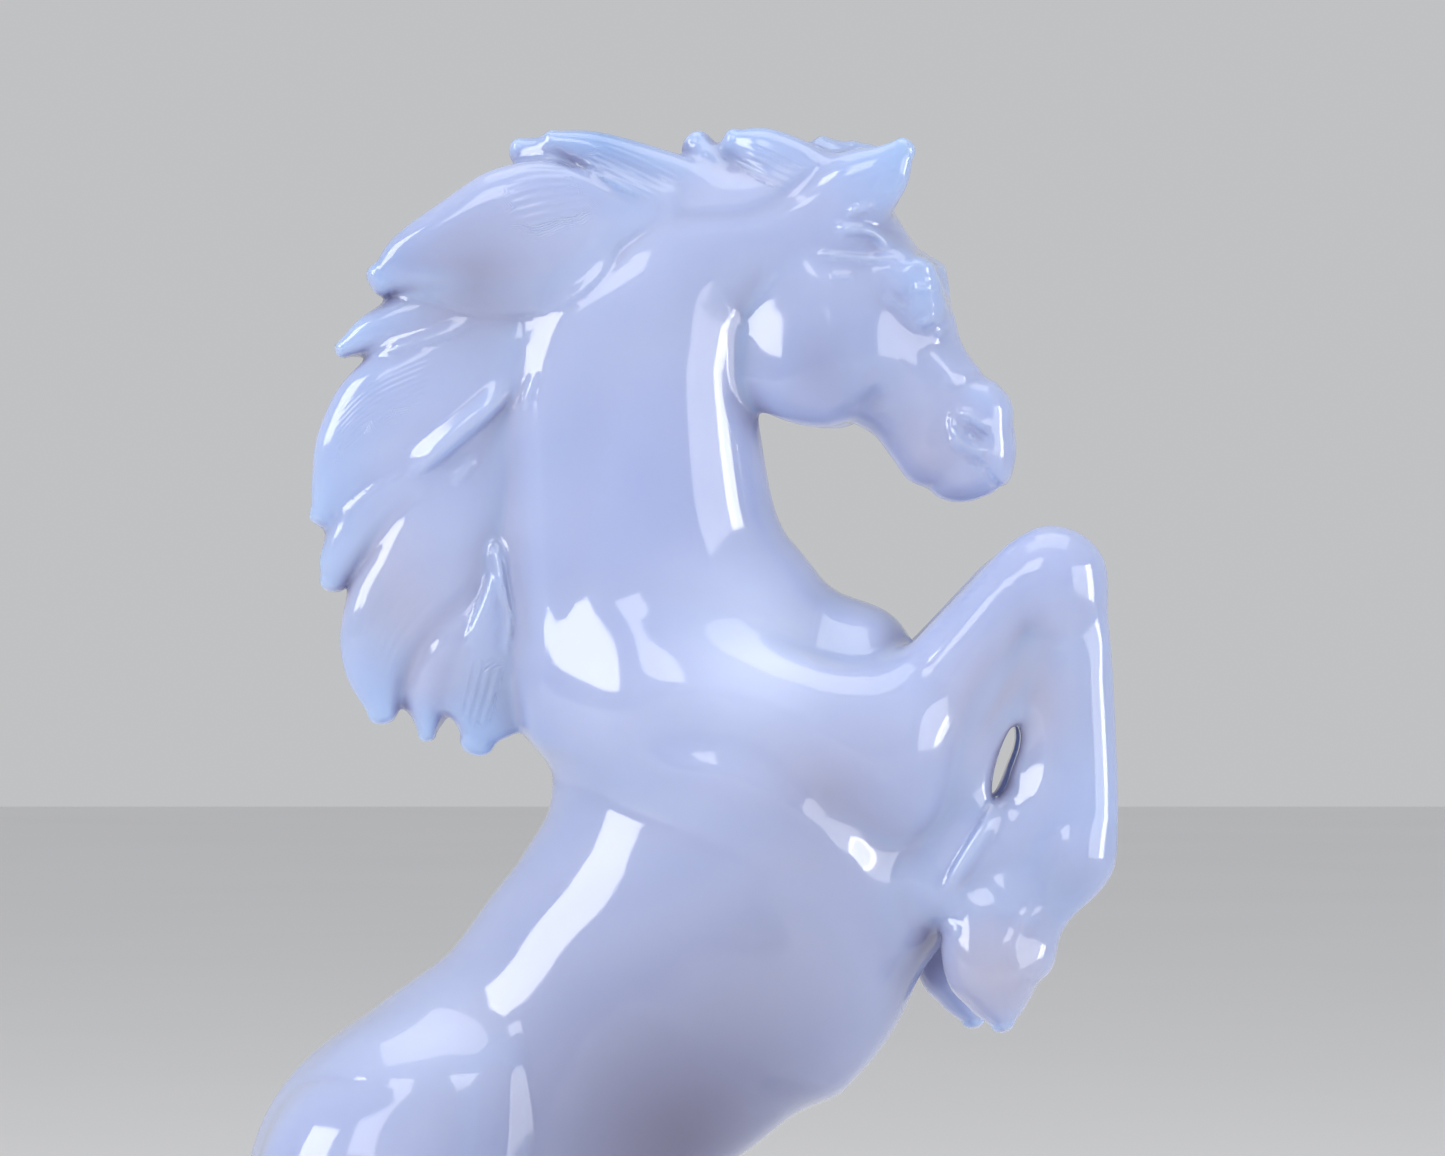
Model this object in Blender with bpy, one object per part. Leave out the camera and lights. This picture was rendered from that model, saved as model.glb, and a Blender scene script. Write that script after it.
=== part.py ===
"""Rearing horse on a low base, carved as one piece from pale blue chalcedony.

The horse rears towards +X, with its right side towards -Y and its head turned a little to that side. It is
built up the way a carver roughs it out: the trunk, the limbs, the head and each lock of the mane and tail is
an oval section carried along a smooth line and closed at both ends. The forms run into one another. A voxel
remesh joins those of the body, which are then smoothed until they flow together, and a second one adds the
hooves, ears, mane, tail and base, whose edges stay crisper. The result is reduced to facets and cut flat
underneath.
"""

import bmesh
import bpy
import numpy as np
from mathutils import Matrix

# Driving dimensions, in metres
FIGURE_HEIGHT = 0.134  # from the ground under the hind hooves to the top of the mane
BASE_LENGTH = 0.076
BASE_WIDTH = 0.046
BASE_HEIGHT = 0.012
BASE_EDGE = 0.0035  # radius of the edge round the top of the base
BASE_LEAN = 0.0015  # how far the sides of the base lean in on their way up

# The figure keeps its pose, proportions and carving as shares of its height. Its tables are laid out in units
# of 1/134 of that height, which are millimetres on the real carving, from the ground at the base's middle.
UNITS_HIGH = 134
UNIT = FIGURE_HEIGHT / UNITS_HIGH

# How finely the forms are made and joined
SECTION_SIDES = 20
SPAN_STEPS = 7  # rings between two stations
CAP_RINGS = 4
SOLE_CAP = 0.28  # how far a sole is domed, as a share of the hoof's lesser half size
TOE_CAP = 0.8  # the same for the rounded toe of a folded foreleg
VOXEL = 0.5 * UNIT
BODY_POLISH = 26  # smoothing steps on the joined body alone
LAST_POLISH = 3
FACET_SHARE = 0.0345  # faces kept of those that the remesh makes
OVERCUT = 0.002  # how far the base runs below the ground before the cut

HEAD_TURN = np.radians(9)  # towards the horse's right
POLL = (19.2, 0.0)  # x and y of the upright line that the head turns about

# A station of a form: x, y, z of its centre, half its width across the horse and half its depth
TRUNK = (
    (-20.8, 0, 40.4, 9.0, 9.0),
    (-15.3, 0, 48.0, 11.5, 13.3),
    (-8.9, 0, 53.3, 12.0, 13.5),
    (-3.1, 0, 58.0, 11.2, 13.2),
    (2.9, 0, 63.1, 11.6, 14.4),
    (9.5, 0, 69.3, 12.0, 16.5),
    (12.4, 0, 77.7, 11.4, 15.2),
    (13.8, 0, 83.2, 9.5, 12.0),
)
NECK = (
    (13.2, 0, 76.0, 10.0, 11.4),
    (8.8, 0, 88.2, 9.7, 13.6),
    (4.8, 0, 98.2, 8.7, 11.6),
    (4.0, 0, 107.2, 7.7, 10.1),
    (4.5, 0, 116.0, 6.9, 8.9),
    (8.0, 0, 122.8, 6.3, 7.5),
    (14.4, 0, 125.4, 5.7, 6.3),
    (19.2, 0, 125.2, 5.0, 5.5),
)
NAPE = (
    (4.6, 0, 121.4, 6.0, 5.2),
    (-0.8, 0, 117.6, 6.3, 5.6),
    (-3.0, 0, 111.4, 6.2, 5.0),
    (-3.4, 0, 104.6, 6.1, 4.6),
    (-3.6, 0, 97.6, 5.8, 4.2),
    (-3.4, 0, 91.0, 5.2, 3.8),
    (-3.0, 0, 87.6, 4.2, 2.8),
)
CHEST = (
    (20.8, 0, 91.2, 6.8, 5.1),
    (23.4, 0, 87.0, 7.6, 5.4),
    (25.0, 0, 80.0, 7.6, 5.5),
    (24.4, 0, 72.0, 7.0, 5.0),
)

# Paired forms, given for the horse's right side, which has the lower y
SHOULDER = (
    (-1.6, -4.2, 90.4, 3.1, 5.7),
    (4.2, -6.9, 88.6, 4.0, 6.6),
    (9.8, -8.1, 86.2, 4.4, 7.3),
    (16.8, -8.2, 84.2, 4.7, 7.5),
    (24.4, -7.2, 84.8, 4.3, 6.0),
)
HAUNCH = (
    (-14.0, -6.2, 56.0, 5.5, 7.0),
    (-15.6, -8.0, 49.6, 6.3, 10.3),
    (-13.2, -8.5, 43.6, 6.0, 9.9),
    (-7.2, -8.4, 40.0, 4.8, 6.2),
)
GASKIN = (
    (-9.6, -8.4, 42.4, 4.9, 7.6),
    (-10.8, -8.2, 36.8, 4.6, 6.4),
    (-15.2, -7.8, 29.6, 3.9, 4.7),
    (-20.0, -7.4, 23.4, 3.1, 3.5),
)
HIND_SHANK = (
    (-21.9, -7.4, 24.2, 2.5, 2.5),
    (-20.4, -7.4, 20.8, 3.1, 3.6),
    (-19.0, -7.4, 16.8, 2.8, 2.9),
    (-17.2, -7.4, 10.4, 2.5, 2.5),
    (-15.4, -7.4, 6.2, 3.0, 3.2),
    (-13.2, -7.4, 3.8, 2.8, 2.8),
    (-11.4, -7.4, 2.0, 3.3, 3.7),
)
HIND_HOOF = (
    (-12.6, -7.4, 3.8, 3.2, 3.4),
    (-11.0, -7.4, 1.4, 3.6, 4.3),
    (-10.1, -7.4, -1.2, 4.0, 5.0),
)
FOREARM = (
    (23.2, -6.2, 82.4, 4.3, 5.3),
    (28.0, -6.4, 90.0, 3.9, 3.3),
    (31.8, -6.4, 94.8, 3.5, 3.3),
    (34.4, -6.2, 97.0, 3.3, 3.7),
    (36.7, -6.2, 97.7, 3.3, 4.4),
)
FORE_CANNON = (
    (36.9, -6.2, 97.6, 3.3, 4.4),
    (38.6, -6.1, 92.8, 2.8, 3.1),
    (38.9, -6.0, 85.6, 2.5, 3.0),
    (39.0, -6.0, 79.2, 2.6, 3.1),
    (38.7, -6.0, 76.0, 3.0, 3.4),
)
FORE_PASTERN = (
    (38.6, -6.0, 76.2, 2.9, 3.3),
    (36.6, -6.0, 73.9, 2.7, 3.3),
    (34.2, -6.0, 71.8, 2.9, 3.9),
)
FORE_HOOF = (
    (33.0, -6.0, 71.0, 2.9, 4.5),
    (32.5, -6.0, 68.4, 3.4, 4.7),
    (32.3, -6.0, 66.3, 3.5, 4.1),
    (32.5, -6.0, 64.6, 3.0, 2.9),
    (32.7, -6.0, 63.3, 2.2, 1.9),
    (32.8, -6.0, 62.6, 1.6, 1.1),
)
TENDON = (
    (36.5, -5.0, 80.0, 2.4, 2.6),
    (33.3, -5.0, 76.2, 2.6, 3.8),
    (30.7, -5.0, 72.6, 2.6, 3.0),
)
# Stone left standing between forearm and cannon, round a small eye
WEBS = (
    ((28.9, -5.2, 83.2, 2.8, 2.9), (31.2, -5.2, 87.5, 2.8, 2.8), (34.4, -5.2, 91.6, 2.8, 2.4)),
    ((36.5, -5.2, 93.6, 2.8, 2.2), (36.7, -5.2, 86.4, 2.8, 2.6), (36.3, -5.2, 80.0, 2.8, 2.6)),
    ((27.2, -5.0, 73.6, 2.8, 3.6), (30.8, -5.0, 77.0, 2.8, 3.1), (34.4, -5.0, 77.4, 2.8, 2.7)),
    ((29.2, -5.0, 84.0, 2.8, 2.5), (29.6, -5.0, 76.8, 2.8, 3.0)),
)
FORELEG_BRIDGE = ((36.8, 0, 76.0, 5.2, 2.6), (32.8, 0, 75.2, 5.2, 3.5), (28.8, 0, 75.2, 5.2, 4.0))
LEFT_LEG_SHIFT = (-1.1, -1.3)  # x and z of the left forearm and cannon from the right one's mirror image
LEFT_HOOF_SHIFT = (-1.9, -0.5)
LEFT_WEB_SHARE = 0.7  # the left leg's web is thinner, so that the eye shows right through

HEAD = (
    (18.0, 0, 124.0, 5.3, 6.0),
    (21.6, 0, 117.8, 6.0, 7.1),
    (25.9, 0, 113.4, 4.3, 5.2),
    (28.0, 0, 110.6, 3.5, 5.0),
    (29.4, 0, 108.6, 3.6, 5.2),
    (30.6, 0, 107.2, 3.3, 4.2),
)
FOREHEAD = ((20.6, 0, 125.4, 4.7, 3.6), (24.2, 0, 121.8, 4.3, 3.1), (27.0, 0, 118.4, 3.3, 2.1))
UPPER_LIP = (
    (30.6, 0, 113.0, 2.7, 1.7),
    (32.2, 0, 111.0, 3.0, 2.1),
    (32.5, 0, 108.8, 2.8, 2.0),
    (32.3, 0, 106.3, 2.5, 2.0),
)
CHIN = ((28.0, 0, 107.0, 2.5, 1.9), (30.2, 0, 105.3, 2.5, 1.6))
CHEEK = ((18.9, -3.0, 120.8, 3.1, 5.1), (17.9, -3.2, 116.7, 3.1, 6.3), (16.9, -3.0, 113.4, 3.1, 5.5))
BROW = ((25.3, -3.4, 122.3, 1.7, 1.4), (27.1, -3.7, 121.5, 1.7, 1.4), (27.5, -3.2, 119.8, 1.4, 1.1))
LEFT_BROW_SHIFT = (-0.3, 0.5)  # x and z of the left brow from the right one's mirror image
EAR = (
    (16.6, -1.6, 126.0, 2.8, 3.4),
    (20.8, -3.0, 128.2, 2.7, 3.6),
    (23.9, -3.8, 130.1, 1.9, 2.6),
    (25.7, -4.0, 131.9, 1.0, 1.1),
)
LEFT_EAR_DRAW_IN = 0.16  # the left ear is laid back by this share of its length

# The mane, from the poll to the withers. A lock: how far its root stands off the middle plane, its greatest
# half thickness, and its stations from tip to root as x, z and half depth.
CREST_LOCKS = (
    (1.0, 1.9, ((21.2, 132.1, 0.6), (22.6, 131.4, 1.0), (23.2, 129.2, 1.4))),
    (1.0, 1.9, ((18.6, 132.5, 0.7), (20.2, 131.6, 1.0), (21.8, 130.0, 1.4))),
    (2.4, 2.7, ((11.7, 132.7, 1.1), (14.0, 131.9, 2.0), (16.8, 130.0, 2.7), (20.0, 127.8, 2.5))),
    (1.0, 2.1, ((8.6, 132.5, 1.1), (9.7, 131.1, 1.3), (11.8, 129.0, 1.7))),
    (2.1, 2.6, ((-2.8, 132.8, 0.9), (0.2, 131.9, 1.8), (4.0, 130.2, 2.5),
                (8.4, 128.5, 2.8), (12.8, 126.6, 2.4))),
    (0.9, 2.1, ((-5.5, 132.1, 1.0), (-3.4, 131.7, 1.2), (-0.4, 130.2, 1.4), (4.0, 127.6, 1.5))),
)
NECK_LOCKS = (
    (3.0, 3.7, ((-16.3, 121.9, 1.4), (-14.2, 123.0, 2.7), (-11.0, 123.9, 4.1), (-6.8, 124.8, 5.8),
                 (-2.2, 125.8, 5.6), (1.8, 126.9, 3.6), (5.8, 127.2, 1.8))),
    (1.8, 2.9, ((-19.6, 116.2, 0.8), (-17.0, 117.6, 1.7), (-12.8, 118.8, 2.3), (-6.4, 120.0, 2.8),
                 (-0.8, 120.8, 2.8))),
    (2.4, 2.9, ((-21.4, 103.0, 1.0), (-20.2, 105.1, 2.3), (-18.4, 107.9, 3.9), (-15.7, 110.5, 5.1),
                 (-11.8, 112.7, 4.9), (-7.7, 115.1, 3.7), (-4.6, 115.8, 2.2))),
    (1.9, 2.7, ((-20.5, 97.8, 1.1), (-19.8, 99.6, 1.8), (-17.6, 102.8, 2.5), (-12.8, 107.0, 2.8),
                 (-6.4, 112.0, 2.5))),
    (2.2, 2.9, ((-16.6, 87.4, 1.3), (-17.0, 90.6, 2.7), (-16.4, 93.3, 3.7), (-14.7, 96.6, 4.2),
                 (-11.7, 100.2, 4.2), (-9.4, 104.2, 3.1), (-7.2, 108.2, 1.6))),
    (1.7, 2.6, ((-13.0, 85.5, 0.8), (-12.9, 88.6, 1.7), (-11.5, 92.0, 1.8), (-9.9, 95.0, 1.6),
                 (-7.6, 100.0, 1.3))),
    (2.6, 2.5, ((-8.9, 85.1, 1.5), (-8.4, 87.0, 3.3), (-8.2, 89.6, 3.0), (-8.0, 92.4, 2.3),
                 (-7.6, 95.6, 1.2), (-7.2, 99.6, 0.6))),
)
ROOT_SINK = 0.45  # how much slimmer a lock is at its root, where it sinks into the neck
LEFT_LOCK_DRAW_IN = 0.07  # the locks on the left end this share of their length short of those on the right
# The stone that the locks lie on
MANE_BED = (
    (-1.2, 0, 123.0, 4.6, 3.8),
    (-8.6, 0, 118.6, 4.8, 6.6),
    (-11.4, 0, 109.8, 4.8, 7.6),
    (-12.5, 0, 102.1, 4.6, 6.9),
    (-11.8, 0, 96.8, 4.3, 6.6),
    (-10.9, 0, 92.6, 4.0, 6.4),
    (-10.4, 0, 90.4, 3.5, 5.9),
)
# The stone that the crest's locks lie on
CREST_BED = (
    (-4.4, 0, 128.4, 3.0, 2.0),
    (1.6, 0, 127.4, 4.2, 3.0),
    (8.0, 0, 127.2, 4.3, 2.7),
    (14.0, 0, 128.1, 4.6, 2.3),
    (18.4, 0, 129.0, 4.4, 1.9),
)
TAIL = (
    (-24.4, 0, 45.2, 2.7, 3.7),
    (-28.6, 0, 42.4, 3.1, 4.1),
    (-31.5, 0, 36.0, 4.0, 4.8),
    (-32.0, 0, 26.4, 4.8, 5.4),
    (-30.0, 0, 16.8, 5.0, 5.6),
    (-28.4, 0, 8.0, 5.0, 5.6),
    (-30.8, 0, 0.0, 5.2, 6.2),
)
# A strand of the tail: how far it stands to the side and how far back
TAIL_STRANDS = ((-2.6, -0.9), (2.6, -0.3), (0.2, 1.2))

# Low knolls of the base: x and y of the middle as shares of half the base's length and width, half sizes as
# shares of half its width, and how far the knoll stands above the top
KNOLLS = (
    (-0.30, 0.02, 0.78, 0.62, 0.0016),
    (0.34, -0.30, 0.62, 0.40, 0.0021),
    (0.52, 0.36, 0.50, 0.36, 0.0014),
    (-0.78, 0.05, 0.36, 0.50, 0.0018),
    (0.02, 0.50, 0.46, 0.26, 0.0011),
)
KNOLL_DEPTH = 0.6  # how much of a knoll's half height lies below the top of the base


def smooth_line(stations):
    """Rows of a Catmull-Rom curve through the stations, with their sizes."""
    rows = np.asarray(stations, float)
    ends = np.vstack((2 * rows[0] - rows[1], rows, 2 * rows[-1] - rows[-2]))
    t = np.linspace(0, 1, SPAN_STEPS, endpoint=False)[:, None]
    spans = []
    for a, b, c, d in zip(ends, ends[1:], ends[2:], ends[3:]):
        bend = (2 * a - 5 * b + 4 * c - d) * t**2 + (3 * b - a - 3 * c + d) * t**3
        spans.append(0.5 * (2 * b + (c - a) * t + bend))
    return np.vstack((*spans, rows[-1:]))


def unit_vectors(rows):
    return rows / np.linalg.norm(rows, axis=1, keepdims=True)


def oval_rings(stations, cap):
    """Rings of an oval section along the stations' line, with a rounded cap on each end.

    A cap is half an oval ball that stands off the end by `cap` times the end section's lesser half size.
    """
    line = smooth_line(stations)
    centre, across, deep = line[:, :3], line[:, 3:4], line[:, 4:5]
    along = unit_vectors(np.gradient(centre, axis=0))
    sideways = unit_vectors(np.array((0, 1, 0)) - along[:, 1:2] * along)
    upwards = np.cross(along, sideways)
    reach = cap * np.minimum(across, deep)
    turn = np.linspace(0, np.pi / 2, CAP_RINGS + 1, endpoint=False)[1:, None]
    rows = []
    for end, sign, order in ((0, -1, slice(None, None, -1)), (-1, 1, slice(None))):
        rise = centre[end] + sign * reach[end] * np.sin(turn) * along[end]
        shrink = np.cos(turn)
        same = [end] * CAP_RINGS
        block = (rise, across[end] * shrink, deep[end] * shrink, sideways[same], upwards[same])
        rows.append([part[order] for part in block])
    first, last = rows
    body = (centre, across, deep, sideways, upwards)
    centre, across, deep, sideways, upwards = (np.vstack(parts) for parts in zip(first, body, last))
    angle = np.linspace(0, 2 * np.pi, SECTION_SIDES, endpoint=False)[None, :, None]
    wide = across[:, None] * np.cos(angle) * sideways[:, None]
    high = deep[:, None] * np.sin(angle) * upwards[:, None]
    return centre[:, None] + wide + high


def skin_rings(bm, rings):
    """Makes a closed skin through rings of points."""
    loops = [[bm.verts.new(point) for point in ring] for ring in rings]
    for low, high in zip(loops, loops[1:]):
        for i in range(len(low)):
            bm.faces.new((low[i - 1], low[i], high[i], high[i - 1]))
    bm.faces.new(loops[0])
    bm.faces.new(reversed(loops[-1]))


def add_form(bm, stations, cap=1.0, turned=False):
    """Adds a form of the figure, standing on the base. A turned form belongs to the head."""
    rings = oval_rings(stations, cap)
    if turned:
        pivot = np.array((*POLL, 0))
        cos, sin = np.cos(HEAD_TURN), np.sin(HEAD_TURN)
        rings = (rings - pivot) @ np.array(((cos, -sin, 0), (sin, cos, 0), (0, 0, 1))) + pivot
    skin_rings(bm, rings * UNIT + (0, 0, BASE_HEIGHT))


def mirrored(stations, shift=(0, 0)):
    """The stations of the same form on the horse's left side, moved by x and z."""
    return [(x + shift[0], -y, z + shift[1], across, deep) for x, y, z, across, deep in stations]


def drawn_in(stations, root, share):
    """Stations drawn towards the root's place by a share of their distance, and slimmer by as much."""
    x0, z0 = stations[root][0], stations[root][2]
    keep = 1 - share
    return [(x0 + (x - x0) * keep, y, z0 + (z - z0) * keep, w, d * keep) for x, y, z, w, d in stations]


def add_body(bm):
    add_form(bm, TRUNK)
    add_form(bm, NECK)
    add_form(bm, NAPE)
    add_form(bm, CHEST)
    for stations in (SHOULDER, HAUNCH, GASKIN, HIND_SHANK):
        add_form(bm, stations)
        add_form(bm, mirrored(stations))


def add_forelegs(bm):
    for stations, cap in ((FOREARM, 1.4), (FORE_CANNON, 1.3)):
        add_form(bm, stations, cap)
        add_form(bm, mirrored(stations, LEFT_LEG_SHIFT), cap)
    for stations in (FORE_PASTERN, TENDON):
        add_form(bm, stations)
        add_form(bm, mirrored(stations, LEFT_HOOF_SHIFT))
    *round_eye, behind_eye = WEBS
    for web in round_eye:
        add_form(bm, web)
        thin = [(x, y, z, across, deep * LEFT_WEB_SHARE) for x, y, z, across, deep in web]
        add_form(bm, mirrored(thin, LEFT_LEG_SHIFT))
    add_form(bm, behind_eye)
    add_form(bm, FORELEG_BRIDGE)


def add_head(bm):
    for stations in (HEAD, FOREHEAD, UPPER_LIP, CHIN, CHEEK, mirrored(CHEEK)):
        add_form(bm, stations, turned=True)


def add_brows_and_ears(bm):
    left_ear = drawn_in(mirrored(EAR), 0, LEFT_EAR_DRAW_IN)
    for stations in (BROW, mirrored(BROW, LEFT_BROW_SHIFT), EAR, left_ear):
        add_form(bm, stations, turned=True)


def add_hooves(bm):
    for stations in (HIND_HOOF, mirrored(HIND_HOOF)):
        add_form(bm, stations, cap=SOLE_CAP)
    for stations in (FORE_HOOF, mirrored(FORE_HOOF, LEFT_HOOF_SHIFT)):
        add_form(bm, stations, cap=TOE_CAP)


def lock_stations(side, stand_off, thickness, rows):
    """Full stations of a lock: close to the middle plane at its tip, and swelling quickly from there."""
    share = np.linspace(0, 1, len(rows))
    swell = np.sin(np.pi / 2 * np.minimum(1, 0.12 + 1.1 * share)) ** 0.8
    width = thickness * (0.45 + 0.55 * swell) * (1 - ROOT_SINK * share**4)
    y = side * stand_off * (0.6 + 0.4 * share)
    return [(x, y[i], z, width[i], deep) for i, (x, z, deep) in enumerate(rows)]


def add_mane(bm):
    add_form(bm, MANE_BED)
    add_form(bm, CREST_BED)
    for stand_off, thickness, rows in CREST_LOCKS + NECK_LOCKS:
        add_form(bm, lock_stations(-1, stand_off, thickness, rows))
        left = lock_stations(1, stand_off, thickness, rows)
        add_form(bm, drawn_in(left, -1, LEFT_LOCK_DRAW_IN))


def add_tail(bm):
    """Adds the tail and its strands, whose tips run out on the base and carry the figure at the back."""
    add_form(bm, TAIL)
    for side, back in TAIL_STRANDS:
        strand = (
            (-28.0, side * 0.4, 42.4, 1.8, 2.4),
            (-30.5 - back, side, 35.2, 2.7, 3.3),
            (-31.2 - back * 1.6, side * 1.5, 26.4, 3.1, 3.5),
            (-29.1 - back * 1.5, side * 1.6, 16.8, 3.1, 3.3),
            (-27.3 - back * 1.6, side * 1.4, 8.8, 2.7, 3.1),
            (-28.3 - back * 1.8, side * 1.9, 2.0, 2.4, 2.7),
            (-30.6 - back * 1.4, side * 2.8, -1.6, 1.8, 1.9),
        )
        add_form(bm, strand)


def base_outline():
    """The base's outline as seen from above: a broad oval with slow waves, BASE_LENGTH by BASE_WIDTH."""
    angle = np.linspace(0, 2 * np.pi, 72, endpoint=False)
    wave = 1 + 0.035 * np.cos(3 * angle + 0.8) + 0.02 * np.cos(5 * angle + 2.1)
    oval = np.stack((np.cos(angle), np.sin(angle)), axis=1)
    oval = np.sign(oval) * np.abs(oval) ** 0.8 * wave[:, None]
    low, high = oval.min(axis=0), oval.max(axis=0)
    return ((oval - low) / (high - low) - 0.5) * (BASE_LENGTH, BASE_WIDTH)


def add_base(bm):
    outline = base_outline()
    half = np.array((BASE_LENGTH, BASE_WIDTH)) / 2
    turn = np.linspace(0, np.pi / 2, 5)
    levels = [(-OVERCUT, 0), (0, 0)]
    edge_foot = BASE_HEIGHT - BASE_EDGE
    levels += [(edge_foot + BASE_EDGE * np.sin(t), BASE_LEAN + BASE_EDGE * (1 - np.cos(t))) for t in turn]
    rings = []
    for z, inset in levels:
        flat = outline * (1 - inset / half)
        rings.append(np.column_stack((flat, np.full(len(flat), z))))
    skin_rings(bm, rings)
    for x, y, length, width, rise in KNOLLS:
        half_height = rise / (1 - KNOLL_DEPTH)
        place = Matrix.Translation((x * half[0], y * half[1], BASE_HEIGHT - KNOLL_DEPTH * half_height))
        size = Matrix.Diagonal((length * half[1], width * half[1], half_height, 1))
        bmesh.ops.create_uvsphere(bm, u_segments=32, v_segments=16, radius=1, matrix=place @ size)


def stone_material():
    material = bpy.data.materials.new("chalcedony")
    material.use_nodes = True
    shader = material.node_tree.nodes["Principled BSDF"]
    shader.inputs["Base Color"].default_value = (0.47, 0.54, 0.82, 1)
    shader.inputs["Roughness"].default_value = 0.12
    shader.inputs["Metallic"].default_value = 0
    return material


def underside_cutter():
    """A box whose top is the ground: what it removes leaves the flat underside."""
    bm = bmesh.new()
    size = Matrix.Diagonal((2 * BASE_LENGTH, 2 * BASE_WIDTH, 4 * OVERCUT, 1))
    bmesh.ops.create_cube(bm, size=1, matrix=Matrix.Translation((0, 0, -2 * OVERCUT)) @ size)
    mesh = bpy.data.meshes.new("underside_cutter")
    bm.to_mesh(mesh)
    bm.free()
    cutter = bpy.data.objects.new("underside_cutter", mesh)
    cutter.hide_render = True
    cutter.display_type = "WIRE"
    bpy.context.collection.objects.link(cutter)
    return cutter


def joined(name, bm, polish_steps):
    """Makes an object of the forms, with modifiers that join them into one body and smooth it."""
    bmesh.ops.recalc_face_normals(bm, faces=bm.faces)
    mesh = bpy.data.meshes.new(name)
    bm.to_mesh(mesh)
    bm.free()
    body = bpy.data.objects.new(name, mesh)
    bpy.context.collection.objects.link(body)
    join = body.modifiers.new("join the forms", "REMESH")
    join.mode = "VOXEL"
    join.voxel_size = VOXEL
    join.use_smooth_shade = True
    polish = body.modifiers.new("polish", "SMOOTH")
    polish.factor = 0.5
    polish.iterations = polish_steps
    return body


def polished_body():
    """The horse without its hooves, ears, mane and tail, as a mesh whose forms flow into one another."""
    bm = bmesh.new()
    for add in (add_body, add_forelegs, add_head):
        add(bm)
    rough = joined("rough_body", bm, BODY_POLISH)
    mesh = bpy.data.meshes.new_from_object(rough.evaluated_get(bpy.context.evaluated_depsgraph_get()))
    bpy.data.objects.remove(rough)
    return mesh


def carve():
    """Builds the finished carving."""
    bm = bmesh.new()
    bm.from_mesh(polished_body())
    for add in (add_brows_and_ears, add_hooves, add_mane, add_tail, add_base):
        add(bm)
    horse = joined("horse_carving", bm, LAST_POLISH)
    horse.data.materials.append(stone_material())
    facets = horse.modifiers.new("facets", "DECIMATE")
    facets.ratio = FACET_SHARE
    cut = horse.modifiers.new("flat underside", "BOOLEAN")
    cut.operation = "DIFFERENCE"
    cut.solver = "EXACT"
    cut.object = underside_cutter()
    return horse


for old in list(bpy.data.objects):
    bpy.data.objects.remove(old)
carve()
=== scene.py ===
"""Polished chalcedony horse, rearing on a low base: its finished surface, its stone and a plain studio.

The carving is one piece of stone, so it is one mesh. Its surface is where a field of signed distances is
nought. Every limb, muscle and lock is an oval section carried along a smooth line, and each runs into the
stone before it over its own width of blend. Shallow strokes are laid on that: folds of skin, eyelids,
nostrils, edges of locks. The field is turned into a net of quads. The net is thinned, and its points are
drawn back onto the field, which also gives the normals.

Tables are in millimetres of the real carving, from the ground at the middle of the base: x forwards, y to
the horse's left, z up. The horse's right side, at negative y, faces the camera.
"""

import logging
from collections.abc import Iterable, Sequence
from concurrent.futures import ThreadPoolExecutor
from dataclasses import dataclass, replace
from enum import Enum

import bpy
import numpy as np
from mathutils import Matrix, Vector


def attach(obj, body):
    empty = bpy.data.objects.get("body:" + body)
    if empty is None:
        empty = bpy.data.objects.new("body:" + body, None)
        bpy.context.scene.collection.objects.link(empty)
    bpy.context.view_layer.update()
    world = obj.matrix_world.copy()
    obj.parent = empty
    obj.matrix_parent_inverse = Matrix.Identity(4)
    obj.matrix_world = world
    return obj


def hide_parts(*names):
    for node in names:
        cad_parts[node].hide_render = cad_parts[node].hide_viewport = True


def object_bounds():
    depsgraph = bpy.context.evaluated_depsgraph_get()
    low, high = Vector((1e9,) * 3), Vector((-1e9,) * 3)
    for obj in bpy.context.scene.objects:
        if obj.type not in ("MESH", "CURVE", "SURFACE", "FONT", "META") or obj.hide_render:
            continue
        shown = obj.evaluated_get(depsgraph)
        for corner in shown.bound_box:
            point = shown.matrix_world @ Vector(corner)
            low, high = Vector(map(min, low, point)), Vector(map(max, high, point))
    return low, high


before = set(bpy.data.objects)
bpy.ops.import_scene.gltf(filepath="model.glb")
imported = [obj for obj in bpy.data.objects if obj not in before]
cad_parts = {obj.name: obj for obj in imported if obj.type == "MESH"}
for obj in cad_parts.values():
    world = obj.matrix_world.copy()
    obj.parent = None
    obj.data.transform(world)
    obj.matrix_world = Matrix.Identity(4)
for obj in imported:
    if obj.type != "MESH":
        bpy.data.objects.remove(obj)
CAD_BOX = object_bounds()

log = logging.getLogger("horse_carving")

NODE = "horse_carving"
PIECE = "carved_horse"
UNITS_TALL = 146.0  # millimetres from the underside to the top of the mane
BASE_HEIGHT = 12.0
UNIT = (CAD_BOX[1][2] - CAD_BOX[0][2]) / UNITS_TALL  # metres to a millimetre of the tables
TINY = 1e-9  # keeps lengths that are divided by off nought
LEAST_SLOPE = 1e-6  # the same for the slope of an oval's field
FINE_SAMPLES = 640  # of a curve, before it is sampled again evenly along its length
THREADS = 4

Array = np.ndarray
Station = tuple[float, float, float, float, float]  # x, y, z, half width across the horse, half depth
Place = tuple[float, float]  # x and z, which hold for both sides of the horse
Colour = tuple[float, float, float]


class Side(Enum):
    """A side of the horse, with the sign that y has there."""

    RIGHT = -1
    LEFT = 1


def unit_rows(rows: Array) -> Array:
    """Rows scaled to length one."""
    return rows / np.maximum(np.linalg.norm(rows, axis=-1, keepdims=True), TINY)


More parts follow.
